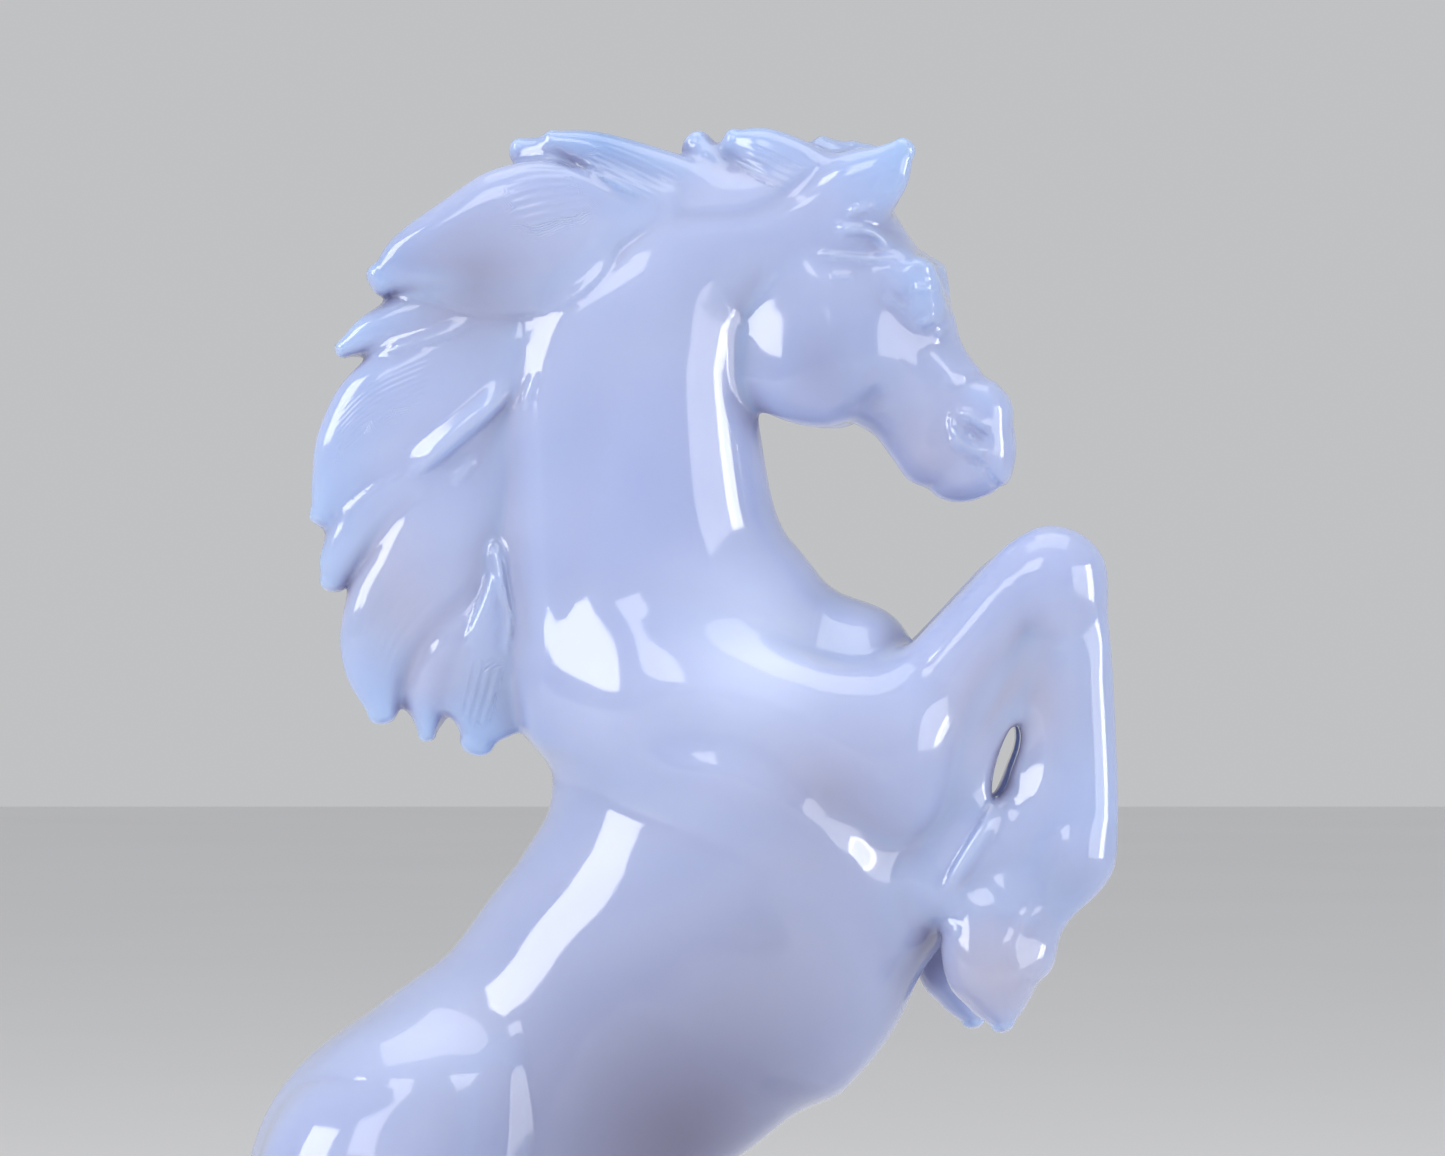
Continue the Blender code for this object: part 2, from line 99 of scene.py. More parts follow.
def smooth_line(rows: Array, samples: int) -> Array:
    """A Catmull-Rom curve through rows of points, sampled evenly in its own parameter.

    Between two rows it is the cubic whose slope at each row is half the way from the row before to the next.

    Args:
        rows: Points, with any further sizes as more columns.
        samples: How many rows to return.

    Returns:
        The sampled rows.
    """
    ends = np.vstack((2 * rows[0] - rows[1], rows, 2 * rows[-1] - rows[-2]))
    place = np.linspace(0, len(rows) - 1, samples)
    i = np.minimum(place.astype(int), len(rows) - 2)
    t = (place - i)[:, None]
    a, b, c, d = ends[i], ends[i + 1], ends[i + 2], ends[i + 3]
    square, cube = (2 * a - 5 * b + 4 * c - d) * t**2, (3 * b - a - 3 * c + d) * t**3
    return 0.5 * (2 * b + (c - a) * t + square + cube)


def even_line(rows: Sequence[Sequence[float]], samples: int) -> tuple[Array, float]:
    """The same curve sampled evenly along its length.

    Args:
        rows: Points, with any further sizes as more columns. The first three columns are the point.
        samples: How many rows to return.

    Returns:
        The sampled rows and the curve's length.
    """
    fine = smooth_line(np.asarray(rows, float), FINE_SAMPLES)
    steps = np.linalg.norm(np.diff(fine[:, :3], axis=0), axis=1)
    way = np.concatenate(((0.0,), np.cumsum(steps)))
    at = np.linspace(0, way[-1], samples)
    return np.stack([np.interp(at, way, column) for column in fine.T], axis=1), float(way[-1])


def flat_line(path: Iterable[Place], samples: int) -> Array:
    """A smooth curve through places, sampled evenly along its length."""
    return even_line([(x, z, 0.0) for x, z in path], samples)[0][:, :2]


def corner_views(table: Array) -> list[Array]:
    """A table as seen from each of its cells' eight corners, one shorter along every axis."""
    ends = [(slice(0, n - 1), slice(1, n)) for n in table.shape]
    return [table[ends[0][x], ends[1][y], ends[2][z]] for x, y, z in np.ndindex(2, 2, 2)]


def smooth_min(a: Array, b: Array, width: float) -> Array:
    """The lesser of two fields, with the valley between them filled over `width` by a parabola."""
    near = np.maximum(width - np.abs(a - b), 0) / width
    return np.minimum(a, b) - near * near * (width / 4)


def smooth_max(a: Array, b: Array, width: float) -> Array:
    """The greater of two fields, with the ridge between them rounded over `width`."""
    return -smooth_min(-a, -b, width)


def ramp(value: Array, start: float, stop: float) -> Array:
    """Nought before `start`, one after `stop`, and a smooth cubic between."""
    t = np.clip((value - start) / (stop - start), 0, 1)
    return t * t * (3 - 2 * t)


@dataclass(frozen=True)
class Hair:
    """Grooves cut along a lock: where a wave over the lock's depth is high, a narrow groove is cut.

    Attributes:
        count: Waves over the lock's half depth.
        depth: Depth of a groove.
        start: Where the grooves begin, as a share of the way from tip to root.
        stop: Where they end.
        phase: Shift of the wave.
    """

    SWAY = 0.12  # how far the grooves sway over the lock's depth
    SWAYS = 5  # turns of the sway from tip to root, in radians
    FADE_IN = 0.12  # share of the lock's length over which they begin
    FADE_OUT = 0.15
    EDGE = 1.15  # where they end over the lock's depth
    EDGE_FADE = 0.4
    CUT_FROM = -0.2  # how high the wave stands where a groove begins

    count: float
    depth: float
    start: float = 0.0
    stop: float = 1.0
    phase: float = 0.0

    def cut(self, along: Array, high: Array) -> Array:
        """How far the surface goes in.

        Args:
            along: Share of the way from tip to root.
            high: Place over the lock's depth, from -1 to 1.

        Returns:
            Depths.
        """
        sway = self.SWAY * np.sin(self.SWAYS * along + self.phase)
        wave = np.cos(np.pi * self.count * (high + sway) + self.phase)
        begun = ramp(along, self.start, self.start + self.FADE_IN)
        fade = begun * (1 - ramp(along, self.stop - self.FADE_OUT, self.stop))
        fade = fade * ramp(self.EDGE - np.abs(high), 0, self.EDGE_FADE)
        return self.depth * fade * ramp(wave, self.CUT_FROM, 1)


class OvalForm:
    """An oval section carried along a smooth line, as a field of signed distances.

    A point is matched with the nearest place on the line, where it has three coordinates: across, deep and
    beyond the end, each divided by the section's half size. With n the section's power, k0 is the nth root
    of the sum of their nth powers. The distance is k0 less one, divided by the slope of k0, which is exact on
    the surface.
    """

    TABLE = 129  # rows of the line's tables
    COARSE_STEP = 8  # rows between those that are tried first
    NEWTON_STEPS = 3
    BENDS = (0.35, 3)  # the least and most that the bend may count for
    LEAST_HALF = 0.05
    BLEND_REACH = 1.6  # how far the box stands off the form, in widths of blend
    MARGIN = 0.8  # and how far besides
    CORE = 0.1  # share of the section that is its core, where the slope means nothing

    def __init__(
        self,
        stations: Sequence[Station],
        blend: float = 1.5,
        cap: float = 1.0,
        across: Sequence[float] = (0, 1, 0),
        hair: Hair | None = None,
        turned: bool = False,
        hollow: bool = False,
        power: float = 2.0,
    ) -> None:
        """Lays out the line's tables.

        Args:
            stations: Centre and half sizes at a few places along the form.
            blend: Width over which it runs into the stone before it.
            cap: How far each end is rounded off, as a share of the lesser half size.
            across: Direction that the half width is measured in.
            hair: Grooves cut along the form.
            turned: Whether it belongs to the head, which is turned.
            hollow: Whether it is cut away from the stone before it.
            power: Power of the section, which is an ellipse at 2 and has flatter faces above it.
        """
        table, length = even_line(stations, self.TABLE)
        self.centre = table[:, :3].astype(np.float32)
        self.wide = np.maximum(table[:, 3], self.LEAST_HALF).astype(np.float32)
        self.deep = np.maximum(table[:, 4], self.LEAST_HALF).astype(np.float32)
        self.step = np.float32(length / (self.TABLE - 1))
        along = unit_rows(np.gradient(table[:, :3], axis=0))
        sideways = np.broadcast_to(np.asarray(across, float), along.shape)
        sideways = unit_rows(sideways - (sideways * along).sum(1, keepdims=True) * along)
        self.along = along.astype(np.float32)
        self.bend = (np.gradient(along, axis=0) / self.step).astype(np.float32)
        self.sideways = sideways.astype(np.float32)
        self.upwards = np.cross(along, sideways).astype(np.float32)
        self.blend, self.cap, self.hair = blend, cap, hair
        self.turned, self.hollow, self.power = turned, hollow, power
        reach = np.maximum(self.wide, self.deep)[:, None]
        margin = self.BLEND_REACH * blend + self.MARGIN
        self.low = (self.centre - reach).min(axis=0) - margin
        self.high = (self.centre + reach).max(axis=0) + margin

    def nearest(self, points: Array) -> Array:
        """Place of each point along the line, in steps of the table.

        The nearest of every eighth row is taken first. Three Newton steps then follow, each of which goes
        along the line by what the point lies ahead, divided by one less the line's bend towards the point.

        Args:
            points: The points.

        Returns:
            Their places.
        """
        best = np.full(len(points), np.inf, np.float32)
        place = np.zeros(len(points), np.float32)
        for j in range(0, self.TABLE, self.COARSE_STEP):
            away = points - self.centre[j]
            distance = np.einsum("ij,ij->i", away, away)
            closer = distance < best
            best[closer] = distance[closer]
            place[closer] = j
        for _ in range(self.NEWTON_STEPS):
            i = np.minimum(place.astype(np.int32), self.TABLE - 2)
            t = (place - i)[:, None]
            away = points - self.between(self.centre, i, t)
            ahead = np.einsum("ij,ij->i", away, self.between(self.along, i, t))
            bend = 1 - np.einsum("ij,ij->i", away, self.between(self.bend, i, t))
            place = np.clip(place + ahead / (self.step * np.clip(bend, *self.BENDS)), 0, self.TABLE - 1)
        return place

    @staticmethod
    def between(table: Array, i: Array, t: Array) -> Array:
        """Values a share t of the way from row i of a table to the next."""
        return table[i] * (1 - t) + table[i + 1] * t

    def distance(self, points: Array) -> Array:
        """Signed distance of each point from the form's surface, less than nought inside.

        Args:
            points: The points.

        Returns:
            Their distances.
        """
        place = self.nearest(points)
        i = np.minimum(place.astype(np.int32), self.TABLE - 2)
        share = place - i
        t = share[:, None]
        wide = self.between(self.wide, i, share)
        deep = self.between(self.deep, i, share)
        away = points - self.between(self.centre, i, t)
        u = np.einsum("ij,ij->i", away, self.between(self.sideways, i, t)) / wide
        v = np.einsum("ij,ij->i", away, self.between(self.upwards, i, t)) / deep
        reach = np.minimum(wide, deep) * self.cap
        w = np.einsum("ij,ij->i", away, self.between(self.along, i, t)) / reach
        w = np.where((place > 0) & (place < self.TABLE - 1), 0, w)
        n = self.power
        ratios, sizes = np.abs((u, v, w)), np.stack((wide, deep, reach))
        k0 = (ratios**n).sum(axis=0) ** (1 / n)
        k1 = np.sqrt(((ratios ** (n - 1) / sizes) ** 2).sum(axis=0))
        core = -np.minimum(wide, deep) * (1 - k0)
        result = np.where(k0 < self.CORE, core, k0 ** (n - 1) * (k0 - 1) / np.maximum(k1, LEAST_SLOPE))
        if self.hair:
            result = result + self.hair.cut(place / (self.TABLE - 1), v)
        return result


@dataclass(frozen=True)
class Stroke:
    """A shallow ridge or groove laid on both sides of the horse along a curve in x and z.

    Across the curve its height is (1 - t t) squared, where t is the distance from the curve as a share of the
    half width on that side of it. It rises and dies away over its two ends.

    Attributes:
        path: Places that the curve runs through.
        height: How far it stands out, or less than nought for a groove.
        left: Half width on the left of the curve as it runs, seen from the horse's right side.
        right: Half width on the other side, or the same where it is None.
        turned: Whether it belongs to the head.
        taper: Share of the length that each end takes to rise.
    """

    path: tuple[Place, ...]
    height: float
    left: float
    right: float | None = None
    turned: bool = False
    taper: float = 0.3

    SAMPLES = 49

    def lift(self, points: Array) -> Array:
        """How far the stroke raises the surface at each point.

        Args:
            points: The points.

        Returns:
            Heights.
        """
        curve = flat_line(self.path, self.SAMPLES).astype(np.float32)
        right = self.left if self.right is None else self.right
        reach = max(self.left, right)
        flat = points[:, (0, 2)]
        result = np.zeros(len(points), np.float32)
        inside = np.flatnonzero(((flat > curve.min(0) - reach) & (flat < curve.max(0) + reach)).all(1))
        if not len(inside):
            return result
        flat = flat[inside]
        span = curve[1:] - curve[:-1]
        best = np.full(len(flat), np.inf, np.float32)
        place = np.zeros(len(flat), np.float32)
        offside = np.zeros(len(flat), np.float32)
        for j, (start, way) in enumerate(zip(curve, span)):
            away = flat - start
            t = np.clip((away @ way) / (way @ way), 0, 1)
            miss = away - t[:, None] * way
            distance = np.einsum("ij,ij->i", miss, miss)
            closer = distance < best
            best[closer] = distance[closer]
            place[closer] = (j + t[closer]) / (self.SAMPLES - 1)
            offside[closer] = (way[0] * away[closer, 1] - way[1] * away[closer, 0])
        t = np.sqrt(best) / np.where(offside > 0, self.left, right)
        shape = np.clip(1 - t * t, 0, 1) ** 2
        if self.taper:
            shape = shape * ramp(place, 0, self.taper) * (1 - ramp(place, 1 - self.taper, 1))
        result[inside] = self.height * shape
        return result


@dataclass(frozen=True)
class Dimple:
    """A shallow oval lump on both sides of the horse, or a hollow where its height is less than nought.

    Attributes:
        place: Its middle.
        height: How far it stands out there.
        reach: Its half sizes along x and z.
        turned: Whether it belongs to the head.
    """

    place: Place
    height: float
    reach: Place
    turned: bool = False

    def lift(self, points: Array) -> Array:
        """Height times (1 - t t) squared, with t the distance as a share of the reach."""
        flat = (points[:, (0, 2)] - np.asarray(self.place, np.float32)) / np.asarray(self.reach, np.float32)
        return self.height * np.clip(1 - np.einsum("ij,ij->i", flat, flat), 0, 1) ** 2


Detail = Stroke | Dimple


@dataclass(frozen=True)
class Comb:
    """Hair lines laid evenly between two guide lines, too fine for the mesh, so that the finish shows them.

    Attributes:
        first: Places of one guide line.
        last: As many places of the other.
        count: How many lines.
        depth: How deep they are beside those of the other combs.
    """

    first: tuple[Place, ...]
    last: tuple[Place, ...]
    count: int
    depth: float

    RUNGS = 28
    MARGIN = 0.5  # how far round the guide lines points are looked at
    END = (0.03, 0.25)  # where the lines rise, as shares of their length
    EDGE = 0.12  # share of the comb's width over which it fades
    LEAST_WEIGHT = 1e-12

    def read(self, points: Array) -> tuple[Array, Array]:
        """Where points lie among the lines.

        Rungs join the guide lines. Each point takes its place across the comb, and along it, as the mean over
        the rungs, weighted by how near they pass.

        Args:
            points: Points in the tables' millimetres.

        Returns:
            The number of the line at each point, running on between lines, and its depth.
        """
        guides = [flat_line(guide, self.RUNGS) for guide in (self.first, self.last)]
        number, depth = np.zeros(len(points)), np.zeros(len(points))
        flat = points[:, (0, 2)]
        both = np.vstack(guides)
        low, high = both.min(0) - self.MARGIN, both.max(0) + self.MARGIN
        inside = np.flatnonzero(((flat > low) & (flat < high)).all(1))
        if not len(inside):
            return number, depth
        rung = guides[1] - guides[0]
        length = np.linalg.norm(rung, axis=1)
        away = flat[inside, None] - guides[0]
        over = (away * rung).sum(-1) / length**2
        miss = np.abs(away[..., 0] * rung[:, 1] - away[..., 1] * rung[:, 0]) / length
        spacing = np.linalg.norm(np.diff(both.reshape(2, -1, 2).mean(0), axis=0), axis=1).mean()
        weight = np.exp(-((miss / spacing) ** 2)) + self.LEAST_WEIGHT
        weight /= weight.sum(1, keepdims=True)
        across, along = (weight * over).sum(1), weight @ np.linspace(0, 1, self.RUNGS)
        ends = ramp(along, *self.END) * ramp(1 - along, *self.END) * (miss.min(1) < spacing)
        number[inside] = across * self.count
        depth[inside] = self.depth * ends * ramp(across, 0, self.EDGE) * ramp(1 - across, 0, self.EDGE)
        return number, depth


def mirrored(stations: Iterable[Station], shift: Place = (0, 0)) -> list[Station]:
    """The same form on the horse's left side, moved by x and z."""
    return [(x + shift[0], -y, z + shift[1], wide, deep) for x, y, z, wide, deep in stations]


def both_sides(
    stations: Sequence[Station], blend: float, cap: float = 1.0, shift: Place = (0, 0), turned: bool = False
) -> list[OvalForm]:
    """A form on the horse's right side, and its mirror image on the left, moved by x and z."""
    return [OvalForm(rows, blend, cap, turned=turned) for rows in (stations, mirrored(stations, shift))]


def drawn_in(stations: Sequence[Station], root: int, share: float) -> list[Station]:
    """Stations drawn towards the root's place and made slimmer.

    Args:
        stations: The stations.
        root: Which of them is the root.
        share: Share of their distance that they are drawn in by, and of their depth that they lose.

    Returns:
        The new stations.
    """
    x0, z0 = stations[root][0], stations[root][2]
    keep = 1 - share
    return [(x0 + (x - x0) * keep, y, z0 + (z - z0) * keep, w, d * keep) for x, y, z, w, d in stations]


@dataclass
class Trunk:
    """Barrel, ribs, breast, shoulders and haunches."""

    barrel: Sequence[Station] = (
        (-20.8, 0, 40.4, 8.9, 8.9),
        (-15.3, 0, 47.9, 11.4, 13.1),
        (-8.8, 0, 53.3, 11.9, 13.2),
        (-2.8, 0, 57.7, 11.1, 13.3),
        (3.0, 0, 62.9, 11.5, 14.6),
        (8.8, 0, 68.6, 11.6, 15.2),
    )
    ribs: Sequence[Station] = (
        (7.6, 0, 63.6, 10.6, 14.4),
        (10.7, 0, 70.0, 11.3, 16.0),
        (12.6, 0, 77.7, 11.1, 15.0),
        (13.8, 0, 83.2, 9.4, 11.9),
    )
    breast: Sequence[Station] = (
        (21.1, 0, 91.1, 6.7, 4.9),
        (23.3, 0, 87.1, 7.5, 5.2),
        (25.0, 0, 80.0, 7.5, 5.4),
        (24.4, 0, 72.0, 6.9, 4.9),
    )
    shoulder: Sequence[Station] = (
        (-1.6, -4.2, 90.4, 3.0, 5.6),
        (4.2, -6.9, 88.6, 3.9, 6.5),
        (9.8, -8.1, 86.2, 4.3, 7.2),
        (16.8, -8.2, 84.2, 4.6, 7.4),
        (24.4, -7.2, 84.8, 4.2, 5.9),
    )
    haunch: Sequence[Station] = (
        (-14.0, -6.2, 56.0, 5.4, 6.9),
        (-15.6, -8.0, 49.6, 6.2, 10.2),
        (-13.2, -8.5, 43.6, 5.9, 9.8),
        (-7.2, -8.4, 40.0, 4.7, 6.1),
    )

    def forms(self) -> list[OvalForm]:
        """Makes the forms of the trunk.

        Returns:
            The forms, in the order in which they are joined.
        """
        middle = ((self.barrel, 1.0, 1.0), (self.ribs, 2.2, 0.4), (self.breast, 2.5, 1.0))
        made = [OvalForm(stations, blend, cap) for stations, blend, cap in middle]
        for stations, blend in ((self.shoulder, 3.0), (self.haunch, 4.0)):
            made += both_sides(stations, blend)
        return made

    def details(self) -> list[Detail]:
        """Valley behind the shoulder, fold of the elbow, edge of the haunch and hollow of the flank."""
        return [
            Stroke(((1.0, 85.5), (8.8, 85.6), (14.3, 84.2), (20.6, 79.8), (26.6, 74.0)), -0.9, 4.0, 3.2),
            Stroke(((18.6, 77.6), (22.2, 75.5), (26.0, 72.6)), 0.3, 3.0, 3.6),
            Stroke(((-7.5, 63.9), (-6.7, 59.8), (-6.4, 52.2), (-7.4, 46.0)), 0.7, 2.4, 5.0),
            Dimple((4.5, 58.0), -0.5, (6.0, 7.0)),
        ]


@dataclass
class Neck:
    """The arched neck."""

    line: Sequence[Station] = (
        (13.2, 0, 76.0, 9.9, 11.3),
        (8.9, 0, 88.2, 9.6, 13.1),
        (4.8, 0, 98.2, 8.6, 11.5),
        (4.0, 0, 107.2, 7.6, 10.0),
        (4.5, 0, 116.0, 6.8, 8.8),
        (8.0, 0, 122.8, 6.2, 7.4),
        (14.4, 0, 125.4, 5.6, 6.2),
        (19.2, 0, 125.2, 4.9, 5.4),
    )

    nape: Sequence[Station] = (
        (4.6, 0, 121.4, 5.9, 5.1),
        (-0.8, 0, 117.6, 6.2, 5.5),
        (-3.0, 0, 111.4, 6.1, 4.9),
        (-3.4, 0, 104.6, 6.0, 4.5),
        (-3.6, 0, 97.6, 5.7, 4.1),
        (-3.4, 0, 91.0, 5.1, 3.7),
        (-3.0, 0, 87.6, 4.1, 2.7),
    )

    def forms(self) -> list[OvalForm]:
        """The neck and the stone under the roots of the mane."""
        return [OvalForm(self.line, blend=3.0), OvalForm(self.nape, blend=3.0)]

    def details(self) -> list[Detail]:
        """The line where the mane is rooted."""
        root = ((4.8, 126.6), (8.8, 126.6), (13.5, 127.2), (17.8, 129.8), (20.2, 131.0))
        return [Stroke(root, -0.3, 0.9, 1.6)]


@dataclass
class HindLegs:
    """Thighs, hocks, cannons and hooves that the horse stands on."""

    gaskin: Sequence[Station] = (
        (-9.6, -8.4, 42.4, 4.8, 7.5),
        (-10.8, -8.2, 36.8, 4.5, 6.3),
        (-15.2, -7.8, 29.6, 3.8, 4.6),
        (-20.0, -7.4, 23.4, 3.0, 3.4),
    )
    shank: Sequence[Station] = (
        (-21.9, -7.4, 24.2, 2.4, 2.4),
        (-20.4, -7.4, 20.8, 3.0, 3.5),
        (-19.0, -7.4, 16.8, 2.7, 2.8),
        (-17.2, -7.4, 10.4, 2.4, 2.4),
        (-15.4, -7.4, 6.2, 2.9, 3.1),
        (-13.2, -7.4, 3.8, 2.7, 2.7),
        (-11.4, -7.4, 2.0, 3.2, 3.6),
    )
    hoof: Sequence[Station] = (
        (-12.6, -7.4, 3.8, 3.1, 3.3),
        (-11.0, -7.4, 1.4, 3.5, 4.2),
        (-10.1, -7.4, -1.2, 3.9, 4.9),
    )

    def forms(self) -> list[OvalForm]:
        """Makes the forms of both legs.

        Returns:
            The forms, in the order in which they are joined.
        """
        made = []
        for stations, blend, cap in ((self.gaskin, 2.5, 1.0), (self.shank, 1.2, 1.0), (self.hoof, 0.4, 0.28)):
            made += both_sides(stations, blend, cap)
        return made

    def details(self) -> list[Detail]:
        """Stifle and the tendon over the hock."""
        return [
            Dimple((-5.4, 40.5), 0.5, (3.2, 4.2)),
            Stroke(((-13.2, 34.8), (-17.2, 28.6), (-21.0, 24.6)), -0.45, 1.3),
            Stroke(((-18.6, 18.8), (-17.2, 13.0), (-15.9, 8.2)), -0.3, 0.8),
        ]


@dataclass
class Forelegs:
    """Folded forelegs, with stone left standing between forearm and cannon round a small eye."""

    forearm: Sequence[Station] = (
        (23.2, -6.2, 82.4, 4.2, 5.2),
        (28.0, -6.4, 90.0, 3.8, 3.6),
        (31.8, -6.4, 94.7, 3.4, 3.1),
        (34.3, -6.2, 96.8, 3.2, 3.5),
        (36.5, -6.2, 97.5, 3.2, 4.2),
    )
    cannon: Sequence[Station] = (
        (36.7, -6.2, 97.4, 3.2, 4.0),
        (38.5, -6.1, 92.8, 2.7, 2.9),
        (39.0, -6.0, 85.6, 2.5, 2.8),
        (39.1, -6.0, 79.2, 2.5, 2.9),
        (38.5, -6.0, 76.0, 2.8, 3.1),
    )
    pastern: Sequence[Station] = (
        (38.4, -6.0, 76.2, 2.7, 3.0),
        (36.6, -6.0, 73.9, 2.6, 3.2),
        (34.2, -6.0, 71.8, 2.8, 3.8),
    )
    hoof: Sequence[Station] = (
        (33.0, -6.0, 71.0, 2.8, 4.4),
        (32.5, -6.0, 68.4, 3.3, 4.6),
        (32.3, -6.0, 66.3, 3.4, 4.0),
        (32.5, -6.0, 64.6, 2.9, 2.8),
        (32.7, -6.0, 63.3, 2.1, 1.8),
        (32.8, -6.0, 62.6, 1.5, 1.0),
    )
    tendon: Sequence[Station] = (
        (36.5, -5.0, 80.0, 2.3, 2.5),
        (33.3, -5.0, 76.2, 2.5, 3.7),
        (30.7, -5.0, 72.6, 2.5, 2.9),
    )
    webs: Sequence[Sequence[Station]] = (
        ((28.9, -5.2, 83.2, 2.7, 3.2), (31.2, -5.2, 87.5, 2.7, 3.4), (34.4, -5.2, 91.6, 2.7, 2.8)),
        ((36.5, -5.2, 93.6, 2.7, 2.6), (36.3, -5.2, 86.4, 2.7, 3.4), (36.3, -5.2, 80.0, 2.7, 3.0)),
        ((27.2, -5.0, 73.6, 2.7, 3.5), (30.8, -5.0, 77.0, 2.7, 3.2), (34.4, -5.0, 77.4, 2.7, 3.0)),
        ((29.2, -5.0, 84.0, 2.7, 2.9), (29.6, -5.0, 76.8, 2.7, 3.2)),
    )
    bridge: Sequence[Station] = (
        (36.8, 0, 76.0, 5.1, 2.5),
        (32.8, 0, 75.2, 5.1, 3.4),
        (28.8, 0, 75.2, 5.1, 3.9),
    )
    left_leg_shift: Place = (-1.1, -1.3)
    left_hoof_shift: Place = (-1.9, -0.4)
    left_web_share: float = 0.8  # the left leg's web is thinner
    eye_foot: Place = (32.2, 80.4)  # lower and upper end of the small eye through the web
    eye_top: Place = (33.8, 86.1)
    eye_half_width: float = 0.62
    eye_reach: float = 14.0  # how far the eye runs to each side of the middle plane
    eye_edge: float = 0.7
    web_blend: float = 1.6

    def eye(self) -> OvalForm:
        """Makes the small eye, which is cut right through both legs.

        Returns:
            The hollow form.
        """
        (x0, z0), (x1, z1) = self.eye_foot, self.eye_top
        x, z, long = (x0 + x1) / 2, (z0 + z1) / 2, np.hypot(x1 - x0, z1 - z0) / 2
        tunnel = [(x, y, z, long, self.eye_half_width) for y in (-self.eye_reach, 0.0, self.eye_reach)]
        return OvalForm(tunnel, blend=self.eye_edge, across=(x1 - x0, 0, z1 - z0), hollow=True)

    def forms(self) -> list[OvalForm]:
        """Makes the forms of both legs, then the eye cut through them.

        Returns:
            The forms, in the order in which they are joined.
        """
        made = []
        for stations, blend, cap, shift in (
            (self.forearm, 2.0, 1.4, self.left_leg_shift),
            (self.cannon, 1.6, 1.3, self.left_leg_shift),
            (self.pastern, 1.6, 1.0, self.left_hoof_shift),
            (self.hoof, 0.8, 0.8, self.left_hoof_shift),
            (self.tendon, 2.0, 1.0, self.left_hoof_shift),
        ):
            made += both_sides(stations, blend, cap, shift)
        *round_eye, behind_eye = self.webs
        for web in round_eye:
            thin = [(x, y, z, wide, deep * self.left_web_share) for x, y, z, wide, deep in web]
            made += [OvalForm(rows, self.web_blend) for rows in (web, mirrored(thin, self.left_leg_shift))]
        return [*made, OvalForm(behind_eye, self.web_blend), OvalForm(self.bridge, 1.5), self.eye()]

    def details(self) -> list[Detail]:
        """Edges and hollows of the folded legs."""
        return [
            Stroke(
                ((35.0, 94.0), (33.0, 91.4), (31.3, 88.0), (29.9, 85.5), (28.2, 84.1)),
                0.28, 1.3, 1.9, taper=0.5,
            ),
            Stroke(((32.4, 80.6), (31.0, 78.0), (29.4, 75.4), (27.7, 72.4)), 0.55, 1.4, 0.45),
            Stroke(((38.0, 94.8), (35.2, 90.4), (33.4, 87.0)), -0.2, 2.4, 1.6),
            Dimple((34.8, 84.2), -0.35, (1.6, 4.4)),
            Dimple((39.4, 93.0), -0.2, (1.6, 3.2)),
            Stroke(((28.0, 70.8), (29.4, 69.6)), 0.2, 0.7),
            Stroke(((36.0, 72.6), (34.2, 70.6), (32.8, 67.6)), 0.25, 1.2, 0.8),
        ]


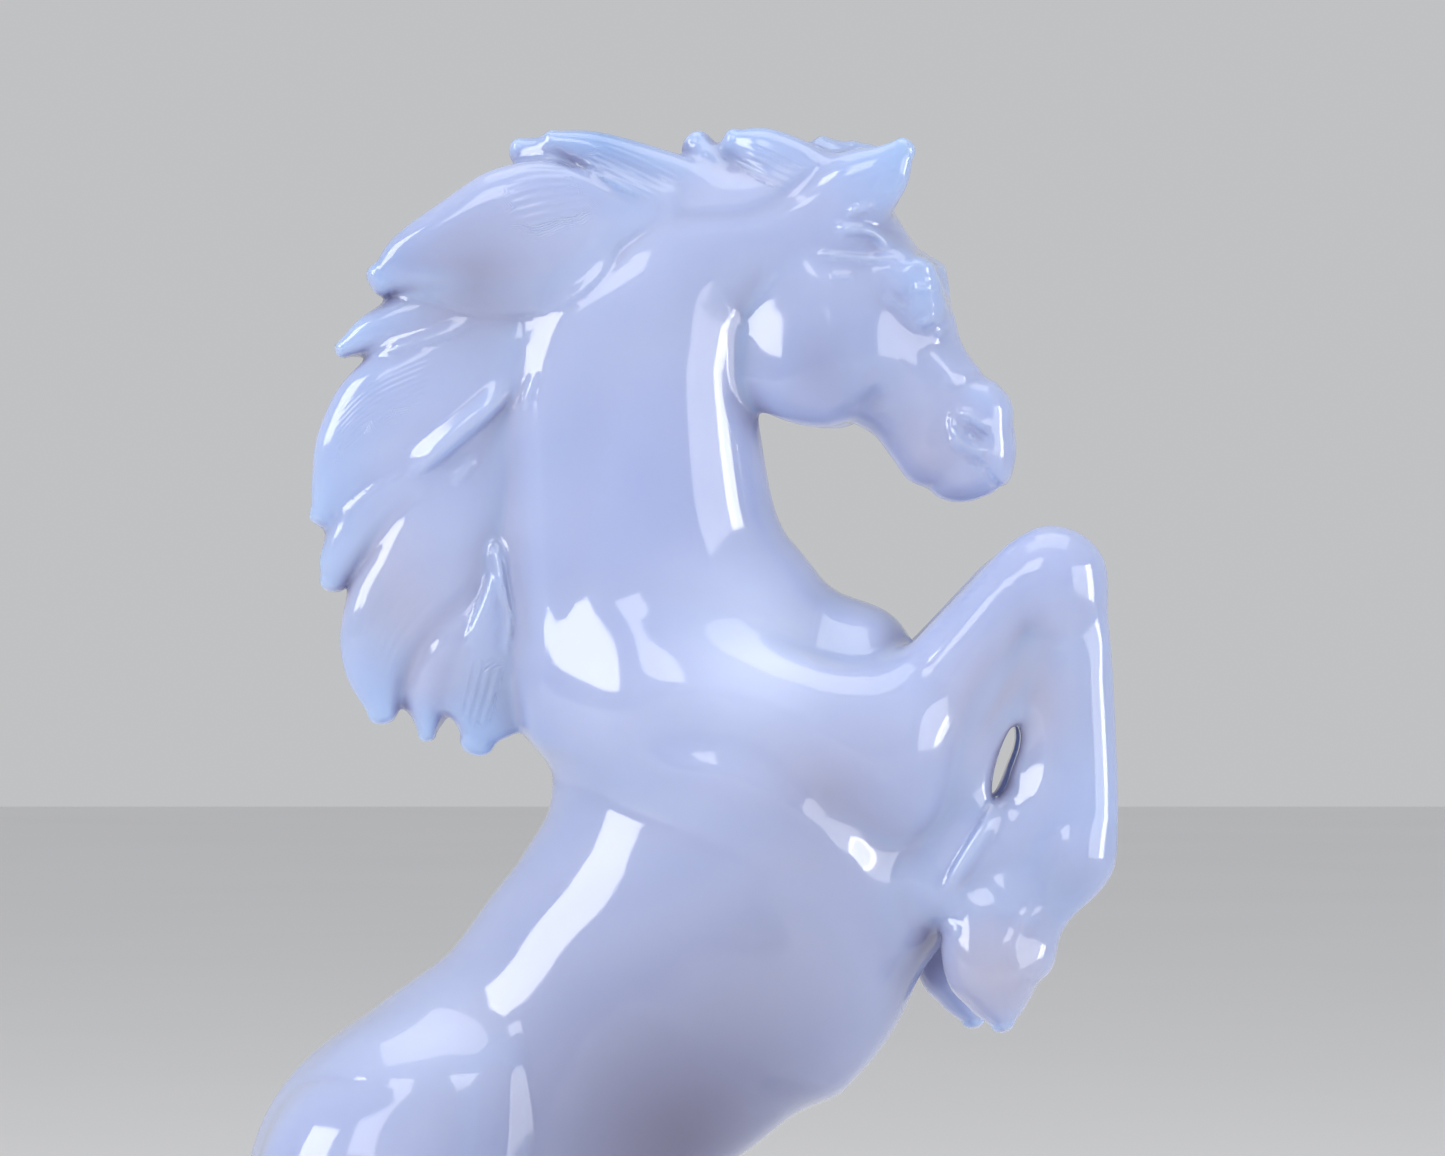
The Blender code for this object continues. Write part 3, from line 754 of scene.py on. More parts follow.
@dataclass
class Head:
    """Head with jaw, brows, eyes, nostrils, mouth and ears. Its tables are laid out before it is turned."""

    skull: Sequence[Station] = (
        (18.0, 0, 124.0, 5.2, 5.9),
        (21.6, 0, 117.9, 5.9, 7.0),
        (25.9, 0, 113.4, 4.2, 5.1),
        (28.0, 0, 110.6, 3.4, 4.9),
        (29.4, 0, 108.7, 3.5, 4.9),
        (30.4, 0, 107.4, 3.2, 4.0),
    )
    forehead: Sequence[Station] = (
        (20.6, 0, 125.3, 4.6, 3.4),
        (24.1, 0, 121.7, 4.2, 2.9),
        (27.0, 0, 118.4, 3.2, 1.9),
    )
    upper_lip: Sequence[Station] = (
        (30.1, 0, 113.1, 2.4, 1.5),
        (31.7, 0, 111.4, 2.8, 2.1),
        (32.0, 0, 109.2, 2.7, 1.9),
        (31.9, 0, 106.8, 2.4, 1.9),
    )
    chin: Sequence[Station] = ((28.0, 0, 107.4, 2.4, 1.6), (30.2, 0, 105.8, 2.4, 1.2))
    cheek: Sequence[Station] = (
        (18.9, -3.0, 120.8, 3.0, 5.0),
        (17.9, -3.2, 116.7, 3.0, 6.2),
        (16.9, -3.0, 113.4, 3.0, 5.4),
    )
    brow: Sequence[Station] = (
        (25.3, -3.4, 122.3, 1.6, 1.3),
        (27.1, -3.7, 121.5, 1.6, 1.3),
        (27.5, -3.2, 119.8, 1.3, 1.0),
    )
    left_brow_shift: Place = (-0.3, 0.5)
    ear: Sequence[Station] = (
        (16.6, -1.6, 126.0, 2.7, 3.3),
        (20.8, -3.0, 128.2, 2.6, 3.5),
        (23.9, -3.8, 130.1, 1.8, 2.5),
        (25.7, -4.0, 131.9, 0.9, 1.0),
    )
    left_ear_draw_in: float = 0.16

    def forms(self) -> list[OvalForm]:
        """Makes the forms of the head.

        Returns:
            The forms, in the order in which they are joined.
        """
        made = [OvalForm(stations, 2.0, turned=True) for stations in (self.skull, self.forehead)]
        made += [OvalForm(self.upper_lip, 0.9, turned=True, power=2.5), OvalForm(self.chin, 0.8, turned=True)]
        made += both_sides(self.cheek, 1.6, turned=True)
        made += both_sides(self.brow, 2.2, shift=self.left_brow_shift, turned=True)
        left_ear = drawn_in(mirrored(self.ear), 0, self.left_ear_draw_in)
        return made + [OvalForm(ear, 1.6, turned=True, power=2.3) for ear in (self.ear, left_ear)]

    def details(self) -> list[Detail]:
        """Folds of skin and the features of the face.

        Returns:
            The strokes and dimples, which turn with the head.
        """
        strokes = [
            Dimple((27.3, 119.5), 0.22, (2.0, 1.9)),
            Stroke(((26.4, 120.5), (27.5, 120.9), (28.5, 120.4)), 0.24, 0.45),
            Stroke(((26.6, 117.9), (27.5, 118.1), (28.4, 118.9)), 0.26, 0.42),
            Stroke(((28.0, 117.0), (28.5, 117.5), (28.9, 118.0)), 0.16, 0.4),
            Stroke(((23.9, 120.2), (25.1, 120.0), (26.3, 118.9)), 0.2, 0.45, 0.6),
            Stroke(((21.3, 126.6), (22.4, 127.1), (23.7, 127.5)), 0.3, 0.6),
            Stroke(((20.0, 125.4), (22.1, 125.5), (23.7, 125.1), (25.1, 123.8)), 0.5, 0.8),
            Stroke(((18.7, 123.7), (21.3, 123.4), (23.7, 123.2), (25.8, 123.4)), 0.28, 0.5),
            Stroke(((20.0, 121.8), (22.3, 121.9)), 0.2, 0.5),
            Stroke(((25.9, 122.7), (27.2, 123.0), (28.5, 122.4)), 0.28, 0.6, 0.9),
            Dimple((20.5, 114.0), 0.8, (8.0, 6.5)),
            Stroke(((30.2, 110.3), (31.2, 109.6), (32.4, 108.8)), -0.32, 0.34, taper=0.25),
            Stroke(((29.6, 111.1), (31.0, 110.7), (32.5, 109.5)), 0.32, 0.9, 0.45),
            Stroke(((29.6, 111.2), (29.5, 109.9), (30.3, 108.8)), 0.28, 0.45),
            Stroke(((29.4, 109.5), (30.6, 108.5), (32.5, 107.8)), 0.4, 0.5, 0.95),
            Stroke(((30.4, 107.5), (31.8, 106.8), (32.6, 105.6), (33.2, 104.6)), -0.2, 0.35, taper=0.15),
            Dimple((33.0, 104.7), -0.5, (0.7, 0.55)),
            Stroke(((19.6, 110.2), (21.4, 111.2), (23.2, 112.4), (24.5, 113.2)), -0.35, 0.9, 1.5),
            Stroke(((27.0, 116.6), (28.8, 114.8), (30.2, 112.9)), 0.24, 1.4, 1.2),
            Dimple((31.4, 113.7), -0.2, (1.2, 1.0)),
            Stroke(((25.9, 130.2), (24.7, 129.2), (23.4, 128.4)), -0.12, 0.8, taper=0.5),
        ]
        return [replace(stroke, turned=True) for stroke in strokes]


@dataclass(frozen=True)
class Lock:
    """A lock of the mane.

    Attributes:
        rows: x, z and half depth from tip to root.
        stand_off: How far its root stands off the middle plane.
        thickness: Its greatest half thickness.
        flare: How much further its root stands off.
        root_sink: How much slimmer it is at its root, where it sinks into the neck.
        power: Power of its section, which is flatter above 2.
        hair: Grooves cut along it.
    """

    TIP_THICKNESS = 0.45  # as a share of the greatest
    TIP_STAND_OFF = 0.6  # as a share of the root's
    SWELL_START = 0.12  # how far the swelling has come at the tip, how fast it goes on, and its power
    SWELL_RATE = 1.1
    SWELL_POWER = 0.8

    rows: tuple[tuple[float, float, float], ...]
    stand_off: float
    thickness: float
    flare: float = 0.0
    root_sink: float = 0.3
    power: float = 2.7
    hair: Hair | None = None

    def stations(self, side: Side) -> list[Station]:
        """Full stations of the lock: close to the middle plane at the tip, swelling quickly from there.

        Args:
            side: The side of the horse.

        Returns:
            The stations, from tip to root.
        """
        share = np.linspace(0, 1, len(self.rows))
        grown = np.minimum(1, self.SWELL_START + self.SWELL_RATE * share)
        swell = np.sin(np.pi / 2 * grown) ** self.SWELL_POWER
        off = self.stand_off * (self.TIP_STAND_OFF + (1 - self.TIP_STAND_OFF) * share)
        y = side.value * (off + self.flare * share**3)
        wide = self.thickness * (self.TIP_THICKNESS + (1 - self.TIP_THICKNESS) * swell)
        wide *= 1 - self.root_sink * share**4
        return [(x, y[i], z, wide[i], deep) for i, (x, z, deep) in enumerate(self.rows)]


@dataclass
class Mane:
    """Seven large locks behind the neck, smaller ones along the crest, and the stone that they lie on."""

    locks: Sequence[Lock] = (
        Lock(
            ((-16.3, 121.9, 1.35), (-14.2, 123.0, 2.65), (-11.0, 123.9, 4.0), (-6.8, 124.8, 5.65),
             (-2.2, 125.8, 5.5), (1.8, 126.9, 3.55), (5.8, 127.2, 1.75)),
            3.0, 3.6, 0.6, 0.6, 3.2,
        ),
        Lock(
            ((-19.6, 116.2, 0.75), (-17.0, 117.6, 1.65), (-12.8, 118.8, 2.25), (-6.4, 120.0, 2.75),
             (-0.8, 120.8, 2.75)),
            1.8, 2.8, 0.0, 0.3, 2.7,
        ),
        Lock(
            ((-21.4, 103.0, 0.95), (-20.2, 105.1, 2.25), (-18.4, 107.9, 3.85), (-15.7, 110.5, 5.05),
             (-11.8, 112.7, 4.85), (-7.7, 115.1, 3.65), (-4.6, 115.8, 2.15)),
            2.4, 2.8, 1.2, 0.5, 2.7,
        ),
        Lock(
            ((-20.5, 97.8, 1.05), (-19.8, 99.6, 1.75), (-17.6, 102.8, 2.45), (-12.8, 107.0, 2.75),
             (-6.4, 112.0, 2.45)),
            1.9, 2.6, 0.0, 0.3, 2.4,
        ),
        Lock(
            ((-16.6, 87.4, 1.25), (-17.0, 90.6, 2.65), (-16.4, 93.3, 3.65), (-14.7, 96.6, 4.15),
             (-11.7, 100.2, 4.15), (-9.4, 104.2, 3.05), (-7.2, 108.2, 1.55)),
            2.2, 2.8, 0.3, 0.6, 2.4,
        ),
        Lock(
            ((-13.0, 85.5, 0.75), (-12.9, 88.6, 1.65), (-11.5, 92.0, 1.75), (-9.9, 95.0, 1.55),
             (-7.6, 100.0, 1.25)),
            1.7, 2.5, 0.0, 0.3, 2.4,
        ),
        Lock(
            ((-8.9, 85.1, 1.45), (-8.4, 87.0, 3.25), (-8.2, 89.6, 2.95), (-8.0, 92.4, 2.25),
             (-7.6, 95.6, 1.15), (-7.2, 99.6, 0.55)),
            2.6, 2.4, 0.2, 0.3, 2.4,
        ),
        Lock(((-5.5, 132.1, 0.95), (-3.4, 131.7, 1.15), (-0.4, 130.2, 1.35), (4.0, 127.6, 1.45)), 0.9, 2.0),
        Lock(
            ((-2.8, 132.8, 0.85), (0.2, 131.9, 1.7), (4.0, 130.2, 2.4), (8.4, 128.4, 2.65),
             (12.8, 126.6, 2.35)),
            2.1, 2.5,
        ),
        Lock(
            ((8.6, 132.5, 1.05), (9.7, 131.1, 1.25), (11.8, 129.0, 1.65)), 1.0, 2.0,
            hair=Hair(2.0, 0.15, 0.2, 0.95),
        ),
        Lock(((11.7, 132.7, 1.05), (14.0, 131.9, 1.95), (16.8, 130.0, 2.65), (20.0, 127.8, 2.45)), 2.4, 2.6),
        Lock(((18.6, 132.5, 0.65), (20.2, 131.6, 0.95), (21.8, 130.0, 1.35)), 1.0, 1.8),
        Lock(((21.2, 132.1, 0.55), (22.6, 131.4, 0.95), (23.2, 129.2, 1.35)), 1.0, 1.8),
    )
    left_draw_in: float = 0.07  # the locks on the left end this share of their length short
    bed: Sequence[Station] = (
        (-1.2, 0, 123.0, 4.5, 3.7),
        (-8.6, 0, 118.6, 4.7, 6.5),
        (-11.4, 0, 109.8, 4.7, 7.5),
        (-12.5, 0, 102.1, 4.5, 6.8),
        (-11.8, 0, 96.8, 4.2, 6.5),
        (-10.9, 0, 92.6, 3.9, 6.3),
        (-10.4, 0, 90.4, 3.4, 5.8),
    )

    crest_bed: Sequence[Station] = (
        (-4.4, 0, 128.4, 2.9, 1.9),
        (1.6, 0, 127.4, 4.1, 2.9),
        (8.0, 0, 127.2, 4.2, 2.6),
        (14.0, 0, 128.1, 4.5, 2.2),
        (18.4, 0, 129.0, 4.3, 1.8),
    )

    def forms(self) -> list[OvalForm]:
        """Makes the mane's beds, then its locks on both sides.

        Returns:
            The forms, in the order in which they are joined.
        """
        made = [OvalForm(self.bed, 2.0), OvalForm(self.crest_bed, 1.5)]
        for lock in self.locks:
            left = drawn_in(lock.stations(Side.LEFT), -1, self.left_draw_in)
            for rows in (lock.stations(Side.RIGHT), left):
                made.append(OvalForm(rows, 1.1, hair=lock.hair, power=lock.power))
        return made

    def details(self) -> list[Detail]:
        """Raised edges where one lock lies over the next, and the deeper cuts."""
        return [
            Stroke(
                ((-16.2, 120.6), (-12.6, 120.3), (-9.1, 119.2), (-5.6, 119.0), (-2.1, 119.8), (0.7, 121.9),
                 (2.1, 124.3), (3.8, 125.7), (6.1, 127.1)),
                0.22, 2.6, 0.6, taper=0.15,
            ),
            Stroke(((-3.6, 132.4), (-0.2, 130.2), (2.6, 128.4), (4.6, 127.1)), -0.28, 0.6),
            Stroke(((-18.0, 115.4), (-11.5, 117.2), (-8.0, 118.7)), 0.2, 1.2, 0.4),
            Stroke(
                ((-5.6, 114.0), (-7.6, 111.5), (-10.7, 108.8), (-13.0, 106.9), (-15.0, 105.8)),
                0.85, 0.8, 2.0,
            ),
            Stroke(((-8.8, 107.7), (-9.9, 106.4), (-11.1, 105.1)), 0.22, 0.6, 0.8),
            Stroke(((-4.2, 114.4), (-5.4, 111.0)), 0.2, 0.5, 0.5),
            Stroke(
                ((-5.0, 112.4), (-5.6, 107.6), (-5.6, 103.4), (-5.3, 98.4), (-5.0, 91.6), (-5.0, 86.6)),
                -0.3, 1.8,
            ),
            Stroke(((-20.6, 102.2), (-16.8, 105.0), (-13.6, 106.7)), 0.15, 0.6, 1.6),
            Stroke(((-7.4, 99.2), (-8.6, 95.4), (-10.0, 92.0)), 0.25, 1.2, 0.5),
            Stroke(((-7.7, 101.7), (-6.8, 97.4), (-6.3, 94.4), (-6.6, 91.2)), 0.35, 0.45, 0.7),
            Stroke(((-19.4, 97.4), (-17.9, 99.5), (-15.8, 102.4), (-12.8, 105.1)), -0.2, 1.2, 1.2),
            Stroke(
                ((-15.0, 88.0), (-14.2, 90.9), (-12.0, 93.8), (-9.0, 97.0), (-7.5, 100.0)),
                -0.25, 1.4, 1.2,
            ),
        ]

    def combs(self) -> list[Comb]:
        """Lays the fine lines of the hair along the locks.

        Returns:
            The combs.
        """
        guides = (
            ((-7.2, 130.4), (-4.8, 131.1), (-2.0, 130.8), (-6.4, 124.8), (-2.6, 125.6), (1.8, 126.6)),
            ((1.0, 132.9), (4.6, 131.6), (8.8, 129.5), (-1.6, 131.0), (1.6, 129.0), (4.8, 127.4)),
            ((12.2, 132.9), (14.6, 132.1), (17.8, 130.4), (11.4, 130.8), (13.4, 129.4), (15.8, 128.2)),
            ((-9.4, 91.8), (-10.1, 88.8), (-10.7, 85.8), (-6.4, 91.6), (-7.2, 88.4), (-8.2, 85.4)),
            ((-20.4, 110.6), (-17.0, 113.8), (-11.5, 116.2), (-21.4, 105.4), (-17.8, 109.2), (-12.4, 111.8)),
            ((-19.0, 93.0), (-17.8, 96.4), (-14.5, 101.0), (-16.2, 88.6), (-14.4, 92.4), (-10.6, 96.6)),
        )
        lines = ((8, 1.0), (7, 1.0), (5, 1.2), (4, 1.4), (9, 0.35), (7, 0.3))
        return [Comb(pair[:3], pair[3:], count, depth) for pair, (count, depth) in zip(guides, lines)]


@dataclass
class Tail:
    """The tail, which runs down to the base behind the hind legs and helps to carry the figure."""

    dock: Sequence[Station] = (
        (-24.4, 0, 45.2, 2.6, 3.6),
        (-28.6, 0, 42.4, 3.0, 4.0),
        (-31.5, 0, 36.0, 3.9, 4.7),
        (-32.0, 0, 26.4, 4.7, 5.3),
        (-30.0, 0, 16.8, 4.9, 5.5),
        (-28.4, 0, 8.0, 4.9, 5.5),
        (-30.8, 0, 0.0, 5.1, 6.1),
    )
    strands: Sequence[tuple[float, float]] = ((-2.6, -0.9), (2.6, -0.3), (0.2, 1.2))  # to the side and back

    def forms(self) -> list[OvalForm]:
        """Makes the tail and its strands.

        Returns:
            The forms, in the order in which they are joined.
        """
        made = [OvalForm(self.dock, 1.5, hair=Hair(5.0, 0.2, 0.12, 1.4))]
        for side, back in self.strands:
            strand = (
                (-28.0, side * 0.4, 42.4, 1.8, 2.4),
                (-30.5 - back, side, 35.2, 2.6, 3.2),
                (-31.2 - back * 1.6, side * 1.5, 26.4, 3.0, 3.4),
                (-29.1 - back * 1.5, side * 1.6, 16.8, 3.0, 3.2),
                (-27.3 - back * 1.6, side * 1.4, 8.8, 2.6, 3.0),
                (-28.3 - back * 1.8, side * 1.9, 2.0, 2.3, 2.6),
                (-30.6 - back * 1.4, side * 2.8, -1.6, 1.7, 1.8),
            )
            made.append(OvalForm(strand, 0.6, hair=Hair(3.2, 0.22, 0.08, 1.4, side)))
        return made

    def details(self) -> list[Detail]:
        """None: the tail has its strands."""
        return []


@dataclass
class Base:
    """The low base: a broad oval with slow waves in its outline, a rounded edge and low knolls.

    Attributes:
        size: Length and width.
        edge: Width over which the top edge is rounded.
        lean: How far the sides lean in on their way up.
        power: Power of the outline, which is an ellipse at 2 and squarer above it.
        knolls: For each its middle as shares of half the length and width, its half sizes as shares of half
            the width, and how far it stands above the top.
        knoll_depth: How much of a knoll's half height lies below the top.
        knoll_blend: Width over which a knoll runs into the top.
        blend: Width over which the horse runs into the base.
        room: How far the base's box stands off it.
        turned: Whether it belongs to the head.
        hollow: Whether it is cut away.
    """

    CORE = 0.2  # share of the way out that is its middle, where the distance means nothing

    size: tuple[float, float] = (76.0, 46.0)
    edge: float = 5.0
    lean: float = 1.5
    power: float = 2.5
    knolls: Sequence[tuple[float, float, float, float, float]] = (
        (-0.30, 0.02, 0.78, 0.62, 1.6),
        (0.34, -0.30, 0.62, 0.40, 2.1),
        (0.52, 0.36, 0.50, 0.36, 1.4),
        (-0.78, 0.05, 0.36, 0.50, 1.8),
        (0.02, 0.50, 0.46, 0.26, 1.1),
    )
    knoll_depth: float = 0.6
    knoll_blend: float = 1.2
    blend: float = 0.8
    room: Sequence[float] = (2.0, 2.0, 4.5)
    turned: bool = False
    hollow: bool = False

    def __post_init__(self) -> None:
        """Works out the base's box, and that of the bare outline, which is then fitted to the size."""
        half = (self.size[0] / 2 + self.room[0], self.size[1] / 2 + self.room[1])
        self.low = np.array((-half[0], -half[1], -BASE_HEIGHT - self.room[1]), np.float32)
        self.high = np.array((*half, self.room[2]), np.float32)
        angle = np.linspace(0, 2 * np.pi, 721)
        oval = np.stack((np.cos(angle), np.sin(angle)), axis=1)
        oval = np.sign(oval) * np.abs(oval) ** (2 / self.power) * self.wave(angle)[:, None]
        self.outline_low, self.outline_high = oval.min(axis=0), oval.max(axis=0)

    @staticmethod
    def wave(angle: Array) -> Array:
        """How the outline swells and draws in with the angle."""
        return 1 + 0.035 * np.cos(3 * angle + 0.8) + 0.02 * np.cos(5 * angle + 2.1)

    def distance(self, points: Array) -> Array:
        """Signed distance from the base.

        In plan the outline is a superellipse whose radius swells with the wave. The share of the way out,
        less one, times the way out itself, is the distance in plan. That and the height above the top are
        joined by a rounded edge, and each knoll is a flattened ball that runs into the top.

        Args:
            points: The points.

        Returns:
            Their distances.
        """
        share = points[:, :2] / self.size + 0.5
        flat = self.outline_low + share * (self.outline_high - self.outline_low)
        raised = np.sign(flat) * np.abs(flat) ** (self.power / 2)
        angle = np.arctan2(raised[:, 1], raised[:, 0])
        out = (np.abs(flat) ** self.power).sum(axis=1) ** (1 / self.power) / self.wave(angle)
        way = np.linalg.norm(points[:, :2], axis=1)
        leant = self.lean * (points[:, 2] + BASE_HEIGHT) / BASE_HEIGHT
        plan = (out - 1) * way / np.maximum(out, self.CORE) + leant
        result = smooth_max(plan, points[:, 2], self.edge)
        half_length, half_width = self.size[0] / 2, self.size[1] / 2
        for x, y, length, width, rise in self.knolls:
            half_height = rise / (1 - self.knoll_depth)
            half = np.array((length * half_width, width * half_width, half_height))
            near = (points - (x * half_length, y * half_width, -self.knoll_depth * half_height)) / half
            k0 = np.linalg.norm(near, axis=1)
            k1 = np.linalg.norm(near / half, axis=1)
            result = smooth_min(result, k0 * (k0 - 1) / np.maximum(k1, LEAST_SLOPE), self.knoll_blend)
        return result


class Carving:
    """The whole carving as one field of signed distances."""

    TURN = np.radians(9)  # of the head, towards the horse's right
    POLL = 19.2  # x of the upright line that the head turns about
    FAR = 50.0  # the field where no form is near
    SKIN = 2.5  # how near the surface strokes are worked out
    SOLE_EDGE = 0.5  # width over which the edge of the underside is rounded
    CHUNK = 60000  # points that are worked out at once

    def __init__(self) -> None:
        """Collects the forms and strokes of every part of the horse."""
        mane = Mane()
        parts = (Trunk(), Neck(), HindLegs(), Forelegs(), Head(), mane, Tail())
        self.forms = [form for part in parts for form in part.forms()]
        self.details = [detail for part in parts for detail in part.details()]
        self.combs = mane.combs()
        self.base = Base()
        self.pool = ThreadPoolExecutor(THREADS)
        log.info("%d forms, %d strokes", len(self.forms), len(self.details))

    def turn_back(self, points: Array) -> Array:
        """Turns points back about the upright line through the poll, as the head is turned the other way.

        Args:
            points: The points.

        Returns:
            The points as they lie before the head is turned.
        """
        cos, sin = np.cos(self.TURN), np.sin(self.TURN)
        x, y = points[:, 0] - self.POLL, points[:, 1]
        back = np.stack((self.POLL + cos * x - sin * y, sin * x + cos * y, points[:, 2]), axis=1)
        return back.astype(np.float32)

    def join(self, forms: Iterable[OvalForm | Base], points: Array, turned: Array, result: Array) -> None:
        """Joins forms into the field at some points, each only inside its own box.

        Args:
            forms: What to join, in order.
            points: The points.
            turned: The same points before the head is turned.
            result: The field so far, which is changed.
        """
        for form in forms:
            at = turned if form.turned else points
            inside = np.flatnonzero(((at > form.low) & (at < form.high)).all(axis=1))
            if not len(inside):
                continue
            distance = form.distance(at[inside])
            if form.hollow:
                result[inside] = smooth_max(result[inside], -distance, form.blend)
            else:
                result[inside] = smooth_min(result[inside], distance, form.blend)

    def value_of_chunk(self, points: Array) -> Array:
        """The field at some points: the forms, less what the strokes raise, then the base, cut flat below.

        Args:
            points: The points.

        Returns:
            The field's values.
        """
        result = np.full(len(points), self.FAR, np.float32)
        turned = self.turn_back(points)
        self.join(self.forms, points, turned, result)
        near = np.flatnonzero(np.abs(result) < self.SKIN)
        if len(near):
            raised = np.zeros(len(near), np.float32)
            for detail in self.details:
                raised += detail.lift((turned if detail.turned else points)[near])
            result[near] -= raised
        self.join([self.base], points, turned, result)
        return smooth_max(result, -BASE_HEIGHT - points[:, 2], self.SOLE_EDGE)

    def value(self, points: Array) -> Array:
        """The field at any number of points, worked out in chunks side by side.

        Args:
            points: The points.

        Returns:
            The field's values.
        """
        points = np.ascontiguousarray(points, np.float32)
        chunks = [points[i : i + self.CHUNK] for i in range(0, len(points), self.CHUNK)]
        return np.concatenate(list(self.pool.map(self.value_of_chunk, chunks)))

    def value_and_slope(self, points: Array, step: float) -> tuple[Array, Array]:
        """The field and its slope, from its values at the corners of a small tetrahedron round each point.

        Args:
            points: The points.
            step: How far the corners stand off, along each axis.

        Returns:
            The field's values and slopes.
        """
        corners = np.array(((1, -1, -1), (-1, -1, 1), (-1, 1, -1), (1, 1, 1)), np.float32)
        total = np.zeros(len(points))
        slope = np.zeros((len(points), 3))
        for corner in corners:
            value = self.value(points + corner * step)
            total += value
            slope += value[:, None] * corner
        return total / 4, slope / (4 * step)

    def box(self) -> tuple[Array, Array]:
        """Works out the box of what the field can fill.

        Returns:
            Its lowest and highest corner.
        """
        solid = [form for form in self.forms if not form.hollow]
        low = np.min([form.low for form in solid] + [self.base.low], axis=0)
        high = np.max([form.high for form in solid] + [self.base.high], axis=0)
        low[2] = -BASE_HEIGHT - 1
        return low, high


@dataclass
class SurfaceNet:
    """Turns the field into a net of quads: one point in each cell that the surface crosses.

    A point is the mean of the places where the cell's edges cross the surface. Each crossed edge of the
    lattice is the middle of one quad. A coarse lattice finds the blocks near the surface, and only those are
    filled finely.

    Attributes:
        pitch: Size of a cell.
        block: Fine cells to a coarse one, along each edge.
    """

    NEAR = 1.8  # how near the surface a block is filled, in sizes of a block
    FAR = 9.0  # the field where no block is filled
    FLATTEST = 0.25  # least square of a slope that a step is worked out from

    pitch: float
    block: int = 4

    def lattice(self, carving: Carving) -> tuple[Array, Array]:
        """The field on a fine lattice, true near the surface and of the right sign elsewhere.

        Args:
            carving: The field.

        Returns:
            The values, and the lattice's lowest corner.
        """
        low, high = carving.box()
        low, big = low - self.pitch, self.pitch * self.block
        cells = np.ceil((high - low) / big).astype(int) + 1
        axes = [low[k] + big * np.arange(cells[k] + 1) for k in range(3)]
        coarse = carving.value(np.stack(np.meshgrid(*axes, indexing="ij"), axis=-1).reshape(-1, 3))
        coarse = coarse.reshape(cells + 1)
        corners = corner_views(coarse)
        reach = big * self.NEAR
        active = (np.min(corners, axis=0) < reach) & (np.max(corners, axis=0) > -reach)
        for axis in range(3):
            active = np.repeat(active, self.block, axis)
        fine = np.zeros(cells * self.block + 1, bool)
        for view in corner_views(fine):
            view |= active
        near = [(np.arange(n) + self.block // 2) // self.block for n in fine.shape]
        values = np.where(coarse < 0, -self.FAR, self.FAR).astype(np.float32)[np.ix_(*near)]
        at = np.flatnonzero(fine)
        points = low + np.stack(np.unravel_index(at, fine.shape), axis=-1) * self.pitch
        values.reshape(-1)[at] = carving.value(points)
        return values, low

    def crossings(self, values: Array) -> tuple[Array, Array]:
        """The net's points.

        Args:
            values: The field on the lattice.

        Returns:
            Points in cells of the lattice, and the number of each cell's point, -1 where it has none.
        """
        shape = np.array(values.shape)
        inside = values < 0
        count = np.zeros(shape - 1, np.int8)
        for view in corner_views(inside):
            count += view
        crossed = np.flatnonzero((count > 0) & (count < 8))
        number = np.full(shape - 1, -1, np.int32)
        number.reshape(-1)[crossed] = np.arange(len(crossed))
        cell = np.stack(np.unravel_index(crossed, shape - 1), axis=-1)
        strides = np.array((shape[1] * shape[2], shape[2], 1))
        first, flat = cell @ strides, values.reshape(-1)
        total, hits = np.zeros((len(cell), 3)), np.zeros(len(cell))
        for axis in range(3):
            others = [k for k in range(3) if k != axis]
            for corner in ((0, 0), (0, 1), (1, 0), (1, 1)):
                offset = np.zeros(3, int)
                offset[others] = corner
                a = flat[first + offset @ strides]
                b = flat[first + offset @ strides + strides[axis]]
                cross = (a < 0) != (b < 0)
                place = np.tile(offset.astype(float), (len(cell), 1))
                place[:, axis] = np.where(cross, a / np.where(cross, a - b, 1), 0)
                total += place * cross[:, None]
                hits += cross
        return cell + total / hits[:, None], number

    def quads(self, values: Array, number: Array) -> Array:
        """Lays one quad round each crossed edge of the lattice, facing out of the stone.

        Args:
            values: The field on the lattice.
            number: The number of each cell's point.

        Returns:
            The numbers of each quad's points.
        """
        inside = values < 0
        made = []
        for axis in range(3):
            others = [k for k in range(3) if k != axis]
            here = np.take(inside, range(values.shape[axis] - 1), axis=axis)
            there = np.take(inside, range(1, values.shape[axis]), axis=axis)
            part = [slice(None)] * 3
            for k in others:
                part[k] = slice(1, values.shape[k] - 1)
            at = np.stack(np.nonzero((here != there)[tuple(part)]), axis=-1)
            at[:, others] += 1
            outwards = here[tuple(at.T)]
            corners = []
            for p, q in ((0, 0), (1, 0), (1, 1), (0, 1)):
                cell = at.copy()
                cell[:, others[0]] -= 1 - p
                cell[:, others[1]] -= 1 - q
                corners.append(number[tuple(cell.T)])
            quad = np.stack(corners, axis=-1)
            turn = outwards if axis == 1 else ~outwards
            quad[turn] = quad[turn][:, ::-1]
            made.append(quad)
        return np.concatenate(made)

    def settle(self, carving: Carving, points: Array) -> Array:
        """Draws points onto the surface by one step down the field's slope, of half a cell at most.

        Args:
            carving: The field.
            points: Points near the surface.

        Returns:
            The points on the surface.
        """
        value, slope = carving.value_and_slope(points, self.pitch / 2)
        step = value[:, None] * slope / np.maximum((slope * slope).sum(1), self.FLATTEST)[:, None]
        length = np.linalg.norm(step, axis=1, keepdims=True)
        return points - step * np.minimum(1, self.pitch / 2 / np.maximum(length, TINY))

